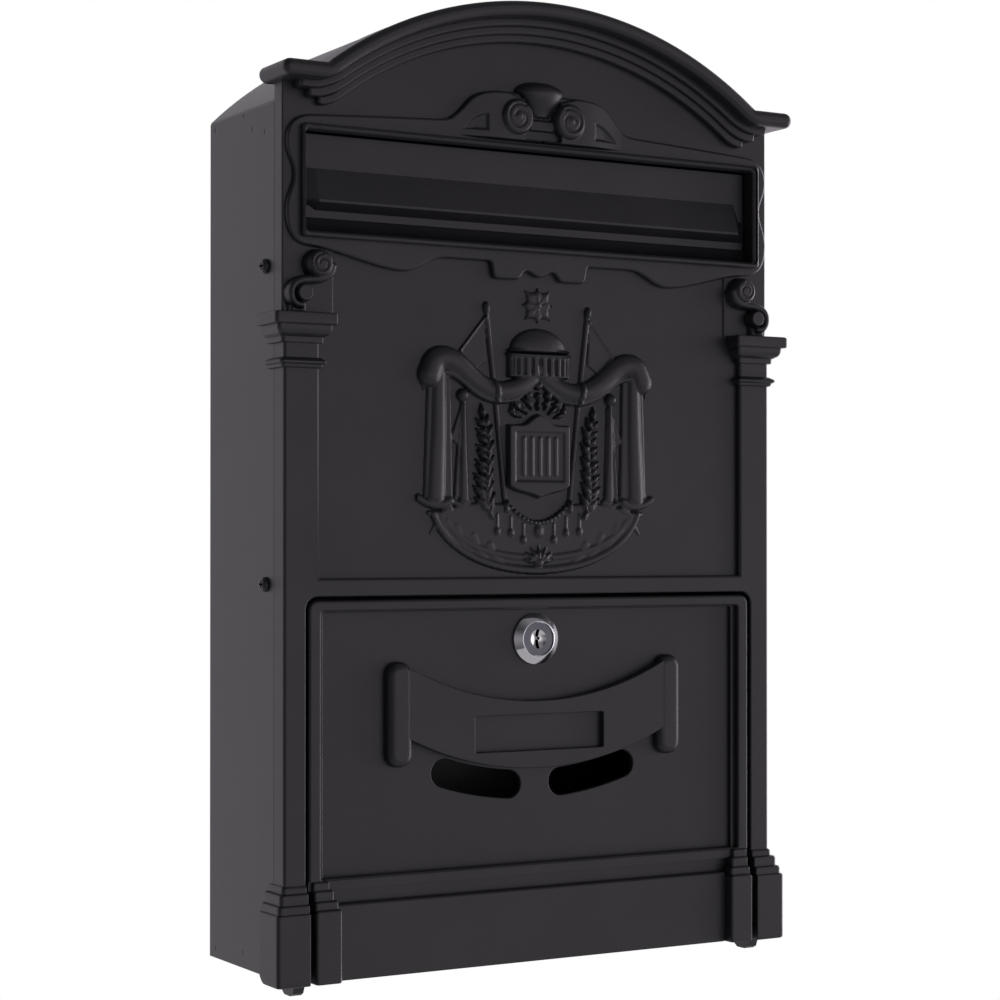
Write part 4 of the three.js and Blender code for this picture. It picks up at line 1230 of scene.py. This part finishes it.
def floor():
    mesh = bpy.data.meshes.new("studio_floor")
    corners = [(x, z, FLOOR_LEVEL) for x, z in arc(0, 0, FLOOR_RADIUS, 0, 360, 96)[:-1]]
    mesh.from_pydata(corners, [], [tuple(range(len(corners)))])
    piece = bpy.data.objects.new("studio_floor", mesh)
    bpy.context.scene.collection.objects.link(piece)
    material, graph, shader = new_material("studio_floor")
    graph.feed(shader, {"Base Color": (0.9, 0.9, 0.9, 1), "Roughness": 0.9,
                        "Emission Color": (1, 1, 1, 1), "Emission Strength": 0.12})
    mesh.materials.append(material)


def studio():
    """Soft light: a white wall behind the box, a dim room in front and a bright strip at the right."""
    world = bpy.data.worlds.new("studio")
    bpy.context.scene.world = world
    world.use_nodes = True
    world.node_tree.nodes.clear()
    graph = Graph(world.node_tree)
    where = graph.add("TexCoord", {}, "Generated")

    def mapped(axis, start, end, low, high):
        along = graph.add("SeparateXYZ", {0: where}, axis)
        return graph.spread(along, start, end, low, high, interpolation_type="SMOOTHSTEP")

    def joined(operation, a, b):
        return graph.add("Math", {0: a, 1: b}, operation=operation)

    wall = joined("MULTIPLY", mapped("Y", 0.05, 0.45, 0.0, 0.72), mapped("Z", 0.42, 0.75, 1.0, 0.2))
    wall = joined("MULTIPLY", wall, mapped("X", 0.4, 0.8, 1.0, 2.6))
    room = joined("MULTIPLY", mapped("Z", 0.0, 0.5, 0.82, 0.17), mapped("Z", -0.6, -0.05, 0.4, 1.0))
    room = joined("MULTIPLY", room, mapped("X", -0.6, 0.1, 0.25, 1.0))
    room = joined("MULTIPLY", room, mapped("X", 0.3, 0.9, 1.12, 0.7))
    light = joined("ADD", joined("MAXIMUM", wall, room), mapped("X", 0.86, 0.97, 0.0, 4.0))
    tint = graph.add("Background", {"Color": (1.0, 0.945, 1.03, 1), "Strength": light})
    white = graph.add("Background", {"Color": (1, 1, 1, 1)})
    seen = graph.add("LightPath", {}, "Is Camera Ray")
    graph.feed(graph.nodes.new("ShaderNodeOutputWorld"),
               {0: graph.add("MixShader", {0: seen, 1: tint, 2: white})})


def camera():
    data = bpy.data.cameras.new("camera")
    piece = bpy.data.objects.new("camera", data)
    bpy.context.scene.collection.objects.link(piece)
    piece.location = (-0.52825, -0.95592, -0.02589)
    piece.rotation_euler = Euler([math.radians(a) for a in (90.376, 0.0, -30.563)])
    data.sensor_width = 36
    data.lens = 86.12
    data.shift_x = -0.02336
    data.shift_y = 0.02688
    bpy.context.scene.camera = piece


floor()
studio()
camera()
bpy.context.scene.view_settings.view_transform = "Standard"
